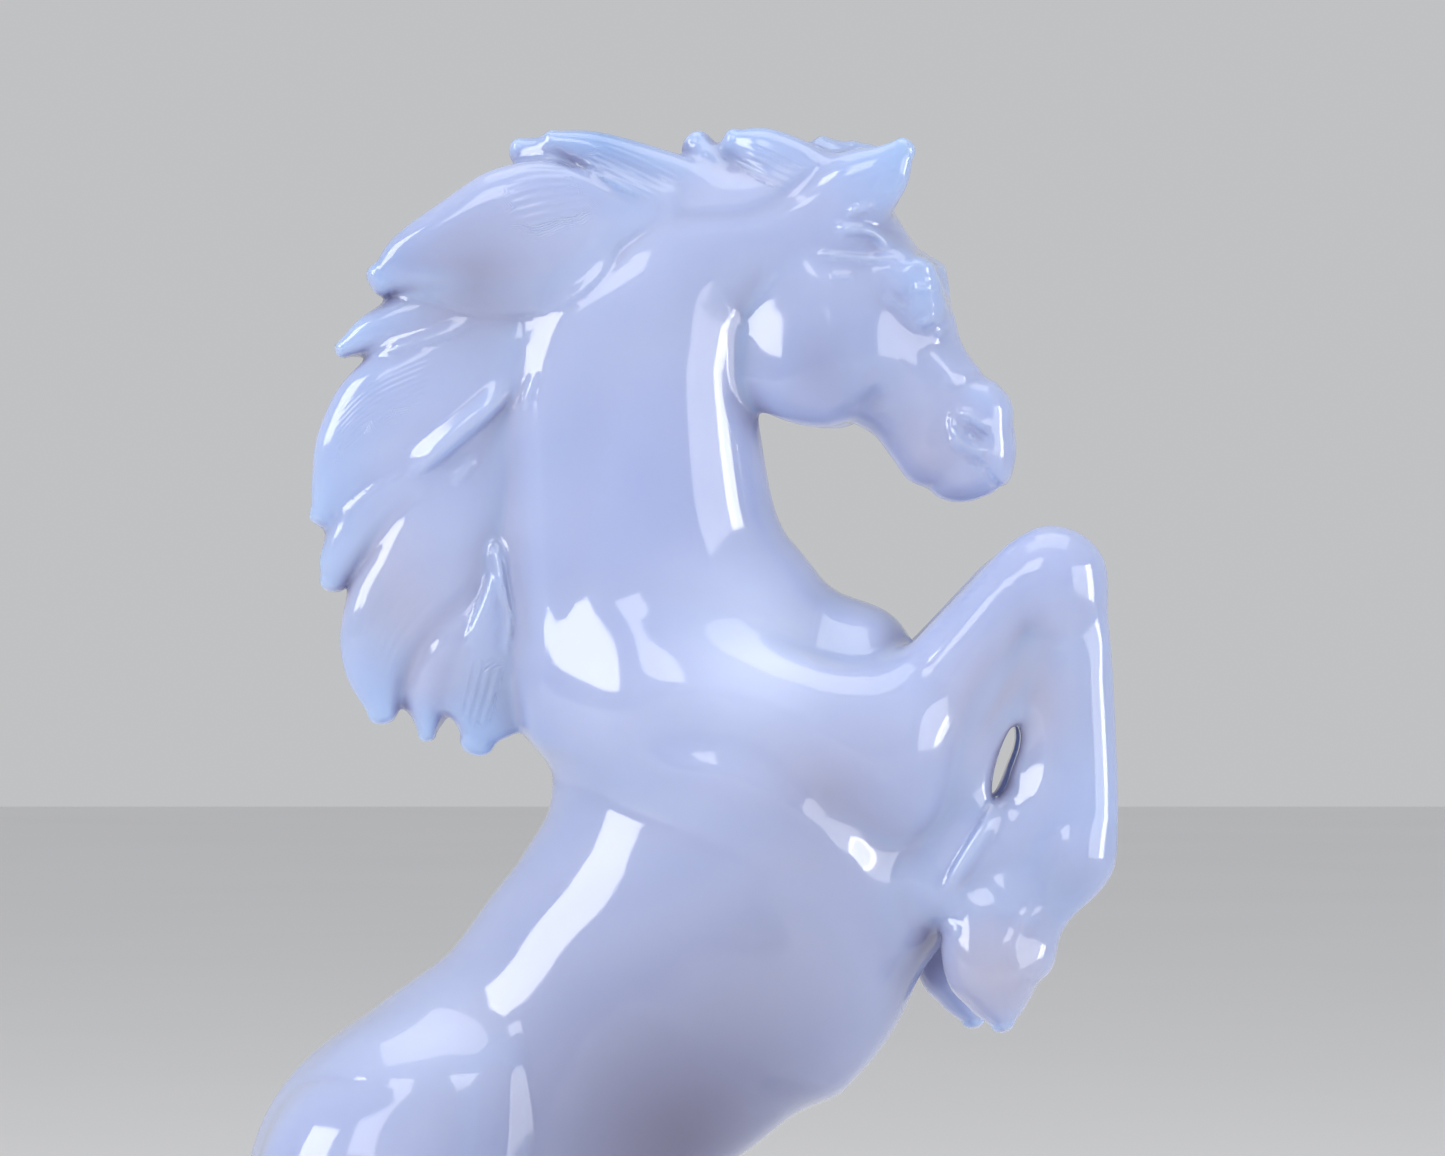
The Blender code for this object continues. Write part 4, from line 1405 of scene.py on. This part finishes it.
    def build(self, carving: Carving) -> tuple[Array, Array]:
        """Builds the net.

        Args:
            carving: The field.

        Returns:
            Points and quads of the surface.
        """
        values, low = self.lattice(carving)
        points, number = self.crossings(values)
        return self.settle(carving, low + points * self.pitch), self.quads(values, number)


class Socket:
    """An output of a shader's node, with the operators of Python as Math nodes."""

    def __init__(self, shader: "Shader", output: bpy.types.NodeSocket) -> None:
        """Wraps a socket.

        Args:
            shader: The shader that it belongs to.
            output: The socket.
        """
        self.shader, self.output = shader, output

    def maths(self, operation: str, *values: "Socket | float") -> "Socket":
        """A Math node on some values."""
        return self.shader.node("ShaderNodeMath", {"operation": operation}, dict(enumerate(values)))

    def __add__(self, other: "Socket | float") -> "Socket":
        """The sum."""
        return self.maths("ADD", self, other)

    def __sub__(self, other: "Socket | float") -> "Socket":
        """The difference."""
        return self.maths("SUBTRACT", self, other)

    def __rsub__(self, other: float) -> "Socket":
        """The difference from a number."""
        return self.maths("SUBTRACT", other, self)

    def __mul__(self, other: "Socket | float") -> "Socket":
        """The product."""
        return self.maths("MULTIPLY", self, other)

    __radd__ = __add__
    __rmul__ = __mul__

    def sine(self) -> "Socket":
        """The sine."""
        return self.maths("SINE", self)

    def clipped(self) -> "Socket":
        """The value kept between nought and one."""
        return self.shader.node("ShaderNodeClamp", {}, {0: self})


class Shader:
    """Builds a material's nodes."""

    def __init__(self, name: str) -> None:
        """Starts a material with one Principled BSDF."""
        self.material = bpy.data.materials.new(name)
        self.material.use_nodes = True
        self.nodes = self.material.node_tree.nodes
        self.links = self.material.node_tree.links
        self.surface = self.nodes["Principled BSDF"]

    def node(self, kind: str, settings: dict, values: dict, output: int | str = 0) -> Socket:
        """Adds a node.

        Args:
            kind: The node's type.
            settings: Its properties, which are set first.
            values: Numbers, colours or links of its inputs, by name or place.
            output: The output to return.

        Returns:
            The output.
        """
        made = self.nodes.new(kind)
        for name, setting in settings.items():
            setattr(made, name, setting)
        for name, value in values.items():
            self.feed(made.inputs[name], value)
        return Socket(self, made.outputs[output])

    def feed(self, target: bpy.types.NodeSocket, value: Socket | float | Sequence[float]) -> None:
        """Links an output to an input, or sets the input's value.

        Args:
            target: The input.
            value: What it gets.
        """
        if isinstance(value, Socket):
            self.links.new(value.output, target)
        else:
            target.default_value = value

    def attribute(self, name: str) -> Socket:
        """A value that the mesh holds for each of its points."""
        return self.node("ShaderNodeAttribute", {"attribute_name": name}, {}, "Fac")

    def noise(self, place: Socket, scale: float, detail: float, **more: float) -> Socket:
        """A noise at a place, with any further inputs by name."""
        inputs = {"Vector": place, "Scale": scale, "Detail": detail, **more}
        return self.node("ShaderNodeTexNoise", {}, inputs)

    def mix(self, share: Socket | float, a: Colour | Socket, b: Colour | Socket) -> Socket:
        """A mix of two colours."""
        a, b = (colour if isinstance(colour, Socket) else (*colour, 1) for colour in (a, b))
        return self.node("ShaderNodeMix", {"data_type": "RGBA"}, {"Factor": share, 6: a, 7: b}, output=2)

    def set(self, **values: Socket | float | Sequence[float]) -> None:
        """Feeds inputs of the Principled BSDF; an underscore in a name stands for a space."""
        for name, value in values.items():
            self.feed(self.surface.inputs[name.replace("_", " ")], value)


@dataclass(frozen=True)
class PaintedTone:
    """A soft spot of colour laid on the stone: painted shade where it is darker, painted light where it is
    lighter.

    Attributes:
        place: Its middle.
        reach: How far it reaches.
        colour: Its colour.
        strength: How much of that colour its middle takes.
    """

    place: tuple[float, float, float]
    reach: float
    colour: Colour
    strength: float


@dataclass(frozen=True)
class ChalcedonyFinish:
    """Polished pale blue chalcedony: cloudy and faintly banded, with a painted bluer glow where thin and
    painted shade in its hollows.

    Attributes:
        body: Colour between the clouds.
        cloud: Colour of the clouds.
        band: Colour of the bands.
        thin: Painted colour of light showing through where the stone is thin, bluer and paler than the body.
        hollow: Painted shade colour, greyer and darker, laid where the surface is closed in: hollows, creases
            and valleys.
        band_share: How much of its colour a band takes.
        thin_glow_share: How much of the painted glow the thinnest stone takes.
        hollow_shade_share: How much of the painted shade the most closed-in hollow takes.
        lie: How the bands and clouds are turned, in radians.
        roughness: Roughness between the clouds.
        cloud_roughness: How much rougher the clouds are.
        cloud_scale: Scale of the noise of the clouds.
        cloud_contrast: What that noise is multiplied by, and what is then taken off it.
        swell: Metres that the polished surface waves by.
        swell_scale: Scale of the noise of those waves.
        grain_scale: The same for the grain.
        grain_share: How deep the grain is beside the waves.
        hair: Metres that the lines of the hair are deep.
        painted_tones: Soft spots of painted shade, darker, and of painted light, lighter, laid where light
            misses or falls on the stone.
    """

    body: Colour = (0.38, 0.44, 0.68)
    cloud: Colour = (0.44, 0.50, 0.73)
    band: Colour = (0.58, 0.61, 0.80)
    # thin is a painted glow of light through thin stone; hollow is painted shade in hollows and creases
    thin: Colour = (0.34, 0.48, 0.76)
    hollow: Colour = (0.29, 0.28, 0.42)
    band_share: float = 0.12
    # shares of the painted glow of thin stone and of the painted shade in hollows
    thin_glow_share: float = 0.75
    hollow_shade_share: float = 0.7
    lie: tuple[float, float, float] = (0.5, 0.3, 0.2)
    roughness: float = 0.07
    cloud_roughness: float = 0.04
    cloud_scale: float = 42.0
    cloud_contrast: tuple[float, float] = (1.6, 0.4)
    swell: float = 0.0002
    swell_scale: float = 160.0
    grain_scale: float = 900.0
    grain_share: float = 0.06
    hair: float = 0.00003
    # soft spots of painted shade and painted light, where the stone is made to look darker or lighter under
    # the lights
    painted_tones: tuple[PaintedTone, ...] = (
        # Painted shade: warm shade in the web between forearm and cannon and on the underside of the hoof,
        # darker on the pastern.
        PaintedTone((35.5, -7.0, 88.0), 12.0, (0.47, 0.41, 0.48), 0.8),
        PaintedTone((32.0, -8.0, 66.5), 11.0, (0.44, 0.41, 0.48), 0.8),
        PaintedTone((37.0, -8.0, 74.0), 8.0, (0.28, 0.31, 0.46), 0.6),
        # Painted shade, darker: the crest, the neck, the first lock's tip and lower face, the lower mane, the
        # valley by the neck, the lower jaw, the cheek and the barrel.
        PaintedTone((1.0, -3.0, 133.0), 8.0, (0.14, 0.24, 0.50), 0.9),
        PaintedTone((4.0, -9.0, 106.0), 20.0, (0.35, 0.41, 0.68), 0.8),
        PaintedTone((-15.6, -3.0, 123.0), 7.0, (0.25, 0.31, 0.53), 0.8),
        PaintedTone((-17.0, -4.0, 95.0), 12.0, (0.44, 0.41, 0.50), 0.8),
        PaintedTone((-9.0, -5.0, 121.0), 11.0, (0.27, 0.27, 0.39), 0.9),
        PaintedTone((-8.5, -5.0, 88.0), 7.0, (0.26, 0.28, 0.43), 0.75),
        PaintedTone((26.0, -6.0, 107.0), 9.0, (0.35, 0.33, 0.43), 0.8),
        PaintedTone((18.0, -8.0, 114.5), 11.0, (0.27, 0.30, 0.48), 0.85),
        PaintedTone((14.0, -11.0, 69.0), 14.0, (0.38, 0.40, 0.54), 0.5),
        # Painted light, brighter: the upward-facing top of the shoulder, the breast and the rump, where the
        # lights fall.
        PaintedTone((14.0, -11.0, 93.0), 13.0, (0.66, 0.74, 0.98), 1.0),
        PaintedTone((23.0, -7.0, 92.0), 9.0, (0.50, 0.58, 0.85), 0.7),
        PaintedTone((-12.0, -11.0, 63.0), 11.0, (0.64, 0.72, 0.97), 0.9),
        # Painted shade, darker: the belly, which faces away from the lights, under the shoulder, and the
        # haunch.
        PaintedTone((8.0, -11.0, 52.0), 35.0, (0.13, 0.11, 0.18), 1.0),
        PaintedTone((18.8, -11.0, 81.0), 12.0, (0.33, 0.32, 0.45), 0.6),
        PaintedTone((-19.0, -9.0, 47.0), 10.0, (0.43, 0.41, 0.51), 0.5),
    )

    def material(self) -> bpy.types.Material:
        """Makes the stone's material, which reads object coordinates and the mesh's own attributes.

        Returns:
            The material.
        """
        shader = Shader("polished_chalcedony")
        place = shader.node("ShaderNodeTexCoord", {}, {}, "Object")
        turned = shader.node("ShaderNodeMapping", {}, {"Vector": place, "Rotation": self.lie})
        cloud = shader.noise(turned, self.cloud_scale, 4.0, Roughness=0.55, Distortion=0.4)
        shader.set(
            Base_Color=self.colour(shader, place, turned, cloud),
            Roughness=self.roughness + cloud * self.cloud_roughness,
            Normal=self.relief(shader, place),
            IOR=1.54,
            Subsurface_Weight=0.55,
            Subsurface_Radius=(0.9, 1.0, 1.25),
            Subsurface_Scale=0.0035,
            Subsurface_Anisotropy=0.2,
            Coat_Weight=0.25,
            Coat_Roughness=0.03,
        )
        return shader.material

    def colour(self, shader: Shader, place: Socket, turned: Socket, cloud: Socket) -> Socket:
        """Mixes the clouds and the bands, then the soft spots of painted light and shade, then the painted
        glow of thin stone and the painted shade of hollows.

        Args:
            shader: The shader.
            place: Object coordinates.
            turned: The same, turned as the bands lie.
            cloud: The noise of the clouds.

        Returns:
            The colour.
        """
        bands = shader.node(
            "ShaderNodeTexWave",
            {"bands_direction": "Z", "wave_profile": "SIN"},
            {"Vector": turned, "Scale": 38.0, "Distortion": 7.0, "Detail": 2.0, "Detail Scale": 0.8},
            "Fac",
        )
        gain, cut = self.cloud_contrast
        colour = shader.mix((cloud * gain - cut).clipped(), self.body, self.cloud)
        colour = shader.mix(bands * self.band_share, colour, self.band)
        # painted light and shade: each spot draws the colour towards a lighter or darker one round its middle
        for painted_tone in self.painted_tones:
            ends = {0: place, 1: table_to_world(painted_tone.place)}
            away = shader.node("ShaderNodeVectorMath", {"operation": "DISTANCE"}, ends, "Value")
            share = (1 - away * (1 / (painted_tone.reach * UNIT))).clipped()
            colour = shader.mix(share * share * painted_tone.strength, colour, painted_tone.colour)
        # painted glow where the stone is thin, and painted shade where the surface is closed in
        for name, most, own in (
            ("thickness", self.thin_glow_share, self.thin),
            ("openness", self.hollow_shade_share, self.hollow),
        ):
            colour = shader.mix(((1 - shader.attribute(name)) * most).clipped(), colour, own)
        return colour

    def relief(self, shader: Shader, place: Socket) -> Socket:
        """Lays the lines of the hair, a sine of their number, then the waves and grain of the polish.

        Args:
            shader: The shader.
            place: Object coordinates.

        Returns:
            The normal.
        """
        lines = (shader.attribute("strand") * (2 * np.pi)).sine() * shader.attribute("strand_depth")
        hair = shader.node("ShaderNodeBump", {}, {"Strength": 1.0, "Distance": self.hair, "Height": lines})
        grain = shader.noise(place, self.grain_scale, 2.0)
        height = shader.noise(place, self.swell_scale, 2.0) + grain * self.grain_share
        return shader.node(
            "ShaderNodeBump", {}, {"Strength": 0.2, "Distance": self.swell, "Height": height, "Normal": hair}
        )


def table_to_world(place: Sequence[float]) -> tuple[float, float, float]:
    """A place of the tables in metres of the frame."""
    x, y, z = place
    return (x * UNIT, y * UNIT, (z + BASE_HEIGHT) * UNIT)


@dataclass
class StoneMesh:
    """Makes the carving's object from the field.

    Attributes:
        pitch: Cell of the net.
        limit: The most triangles that the piece may have.
        probe_in: How far in the thickness of the stone is felt, for the painted glow of thin stone.
        probe_out: How far out the openness of the surface is felt, for the painted shade of hollows.
    """

    pitch: float = 0.33
    limit: int = 192000
    probe_in: float = 3.2
    probe_out: float = 2.2

    def build(self, carving: Carving) -> bpy.types.Object:
        """Makes the finished object, with its normals and attributes.

        Args:
            carving: The field.

        Returns:
            The object.
        """
        net = SurfaceNet(self.pitch)
        points, quads = net.build(carving)
        log.info("net of %d points and %d quads", len(points), len(quads))
        mesh = self.thinned(self.mesh_of(points, quads))
        points = np.empty(len(mesh.vertices) * 3, np.float32)
        mesh.vertices.foreach_get("co", points)
        points = net.settle(carving, points.reshape(-1, 3))
        _, slope = carving.value_and_slope(points, self.pitch / 2)
        normals = unit_rows(slope)
        world = points * UNIT
        world[:, 2] = np.maximum(world[:, 2] + BASE_HEIGHT * UNIT, 0)
        mesh.vertices.foreach_set("co", world.astype(np.float32).reshape(-1))
        self.feel(mesh, carving, points, normals)
        mesh.shade_smooth()
        mesh.normals_split_custom_set_from_vertices(normals)
        mesh.update()
        piece = bpy.data.objects.new(PIECE, mesh)
        bpy.context.scene.collection.objects.link(piece)
        log.info("%s has %d triangles", PIECE, sum(len(p.vertices) - 2 for p in mesh.polygons))
        return piece

    @staticmethod
    def mesh_of(points: Array, quads: Array) -> bpy.types.Mesh:
        """Puts points and quads into a mesh.

        Args:
            points: The points.
            quads: The numbers of each quad's points.

        Returns:
            The mesh.
        """
        mesh = bpy.data.meshes.new(PIECE)
        mesh.vertices.add(len(points))
        mesh.vertices.foreach_set("co", points.astype(np.float32).reshape(-1))
        mesh.loops.add(quads.size)
        mesh.loops.foreach_set("vertex_index", quads.astype(np.int32).reshape(-1))
        mesh.polygons.add(len(quads))
        mesh.polygons.foreach_set("loop_start", np.arange(0, quads.size, 4, dtype=np.int32))
        mesh.update(calc_edges=True)
        return mesh

    def thinned(self, mesh: bpy.types.Mesh) -> bpy.types.Mesh:
        """Collapses edges, first where the mesh is flattest, until it keeps the limit.

        Args:
            mesh: A mesh of quads, which is removed if it is thinned.

        Returns:
            The mesh or its thinned copy.
        """
        triangles = 2 * len(mesh.polygons)
        if triangles <= self.limit:
            return mesh
        holder = bpy.data.objects.new("holder", mesh)
        bpy.context.scene.collection.objects.link(holder)
        modifier = holder.modifiers.new("thin", "DECIMATE")
        modifier.ratio = self.limit / triangles
        thin = bpy.data.meshes.new_from_object(holder.evaluated_get(bpy.context.evaluated_depsgraph_get()))
        bpy.data.objects.remove(holder)
        bpy.data.meshes.remove(mesh)
        thin.name = PIECE
        return thin

    def feel(self, mesh: bpy.types.Mesh, carving: Carving, points: Array, normals: Array) -> None:
        """Stores the hair's lines, how thick the stone is under each point and how open the space over it;
        the last two set the painted glow of thin stone and the painted shade of hollows.

        Thickness is the field's depth a little way in, as a share of that way; openness the same going out.

        Args:
            mesh: The mesh that gets the attributes.
            carving: The field.
            points: The mesh's points in the tables' millimetres.
            normals: Their normals.
        """
        inner = -carving.value(points - normals * self.probe_in) / self.probe_in
        outer = carving.value(points + normals * self.probe_out) / self.probe_out
        felt = {"thickness": np.clip(inner, 0, 1), "openness": np.clip(outer, 0, 1)}
        number, depth = np.zeros(len(points)), np.zeros(len(points))
        for comb in carving.combs:
            own_number, own_depth = comb.read(points)
            number, depth = np.where(own_depth > 0, own_number, number), np.maximum(depth, own_depth)
        felt |= {"strand": number, "strand_depth": depth}
        for name, values in felt.items():
            attribute = mesh.attributes.new(name, "FLOAT", "POINT")
            attribute.data.foreach_set("value", values.astype(np.float32))


@dataclass(frozen=True)
class Softbox:
    """A plain rectangular light: its direction as seen from the carving, distance, size and power.

    Attributes:
        name: Its name.
        azimuth: Degrees from the camera's side of the carving towards its front.
        elevation: Degrees above level.
        distance: Metres from the carving.
        size: Width and height in metres.
        watts: Power.
        glint_only: Whether it shows in reflections and adds no other light.
    """

    name: str
    azimuth: float
    elevation: float
    distance: float
    size: tuple[float, float]
    watts: float
    glint_only: bool = False

    def hang(self, target: Vector) -> bpy.types.Object:
        """Places the light.

        Args:
            target: The point that it is turned towards.

        Returns:
            The light.
        """
        data = bpy.data.lights.new(self.name, "AREA")
        data.shape = "RECTANGLE"
        data.size, data.size_y = self.size
        data.energy = self.watts
        lamp = bpy.data.objects.new(self.name, data)
        azimuth, elevation = np.radians(self.azimuth), np.radians(self.elevation)
        level = np.cos(elevation)
        way = Vector((np.sin(azimuth) * level, -np.cos(azimuth) * level, np.sin(elevation)))
        lamp.location = target + way * self.distance
        lamp.rotation_euler = (-way).to_track_quat("-Z", "Y").to_euler()
        lamp.visible_camera = False
        lamp.visible_diffuse = not self.glint_only
        bpy.context.scene.collection.objects.link(lamp)
        return lamp


@dataclass
class Studio:
    """Camera, softboxes, pale floor and pale surroundings.

    Attributes:
        distance: Metres from the camera to the carving's middle plane.
        view_width: Metres that the picture is wide at that plane.
        aim: Where the picture's middle lies on that plane, as x and z in metres.
        softboxes: The lights.
        surroundings: Colour of the light from all round.
        floor_half: Half the floor's width in metres.
        floor_colours: The two colours that the floor's fine grain mixes.
    """

    distance: float = 0.6
    view_width: float = 0.1156
    aim: tuple[float, float] = (0.0106, 0.10976)
    softboxes: tuple[Softbox, ...] = (
        Softbox("right_core", 74, 2, 0.9, (0.22, 0.80), 4.6, glint_only=True),
        Softbox("right_wing", 55, 4, 0.9, (0.56, 0.74), 4.0),
        Softbox("upper_left", -58, 21, 0.9, (0.40, 0.50), 4.2),
        Softbox("left_window", -22, 32, 0.9, (0.24, 0.28), 0.7, glint_only=True),
        Softbox("top_softbox", 0, 84, 0.9, (0.9, 0.7), 3.4),
    )
    surroundings: Colour = (0.53, 0.535, 0.545)
    floor_half: float = 3.0
    floor_colours: tuple[Colour, Colour] = ((0.80, 0.80, 0.81), (0.84, 0.84, 0.85))

    def set_camera(self) -> bpy.types.Object:
        """Sets up a level camera at the photograph's viewing angle.

        Returns:
            The camera.
        """
        data = bpy.data.cameras.new("camera")
        data.sensor_fit = "HORIZONTAL"
        data.lens = data.sensor_width * self.distance / self.view_width
        data.clip_start, data.clip_end = 0.01, 20
        camera = bpy.data.objects.new("camera", data)
        camera.location = (self.aim[0], -self.distance, self.aim[1])
        camera.rotation_euler = (np.pi / 2, 0, 0)
        bpy.context.scene.collection.objects.link(camera)
        bpy.context.scene.camera = camera
        return camera

    def lay_floor(self) -> bpy.types.Object:
        """Lays a wide pale floor at the level of the underside.

        Returns:
            The floor.
        """
        half = self.floor_half
        corners = [(-half, -half, 0), (half, -half, 0), (half, half, 0), (-half, half, 0)]
        mesh = bpy.data.meshes.new("floor")
        mesh.from_pydata(corners, [], [(0, 1, 2, 3)])
        floor = bpy.data.objects.new("floor", mesh)
        bpy.context.scene.collection.objects.link(floor)
        shader = Shader("pale_floor")
        grain = shader.node("ShaderNodeTexNoise", {}, {"Scale": 40.0, "Detail": 3.0})
        shader.set(Base_Color=shader.mix(grain, *self.floor_colours), Roughness=0.8)
        mesh.materials.append(shader.material)
        return floor

    def light(self) -> None:
        """Hangs the softboxes and sets the surroundings."""
        target = Vector((self.aim[0], 0, self.aim[1]))
        for softbox in self.softboxes:
            softbox.hang(target)
        world = bpy.data.worlds.new("surroundings")
        world.use_nodes = True
        world.node_tree.nodes["Background"].inputs["Color"].default_value = (*self.surroundings, 1)
        world.node_tree.nodes["Background"].inputs["Strength"].default_value = 1.0
        bpy.context.scene.world = world
        bpy.context.scene.view_settings.view_transform = "Standard"


def main() -> None:
    """Builds the carving and its studio."""
    logging.basicConfig(level=logging.INFO, format="%(message)s")
    studio = Studio()
    studio.set_camera()
    studio.lay_floor()
    studio.light()
    carving = Carving()
    stone = StoneMesh()
    horse = stone.build(carving)
    horse.data.materials.clear()
    horse.data.materials.append(ChalcedonyFinish().material())
    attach(horse, "root")
    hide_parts(NODE)


if __name__ == "__main__":
    main()
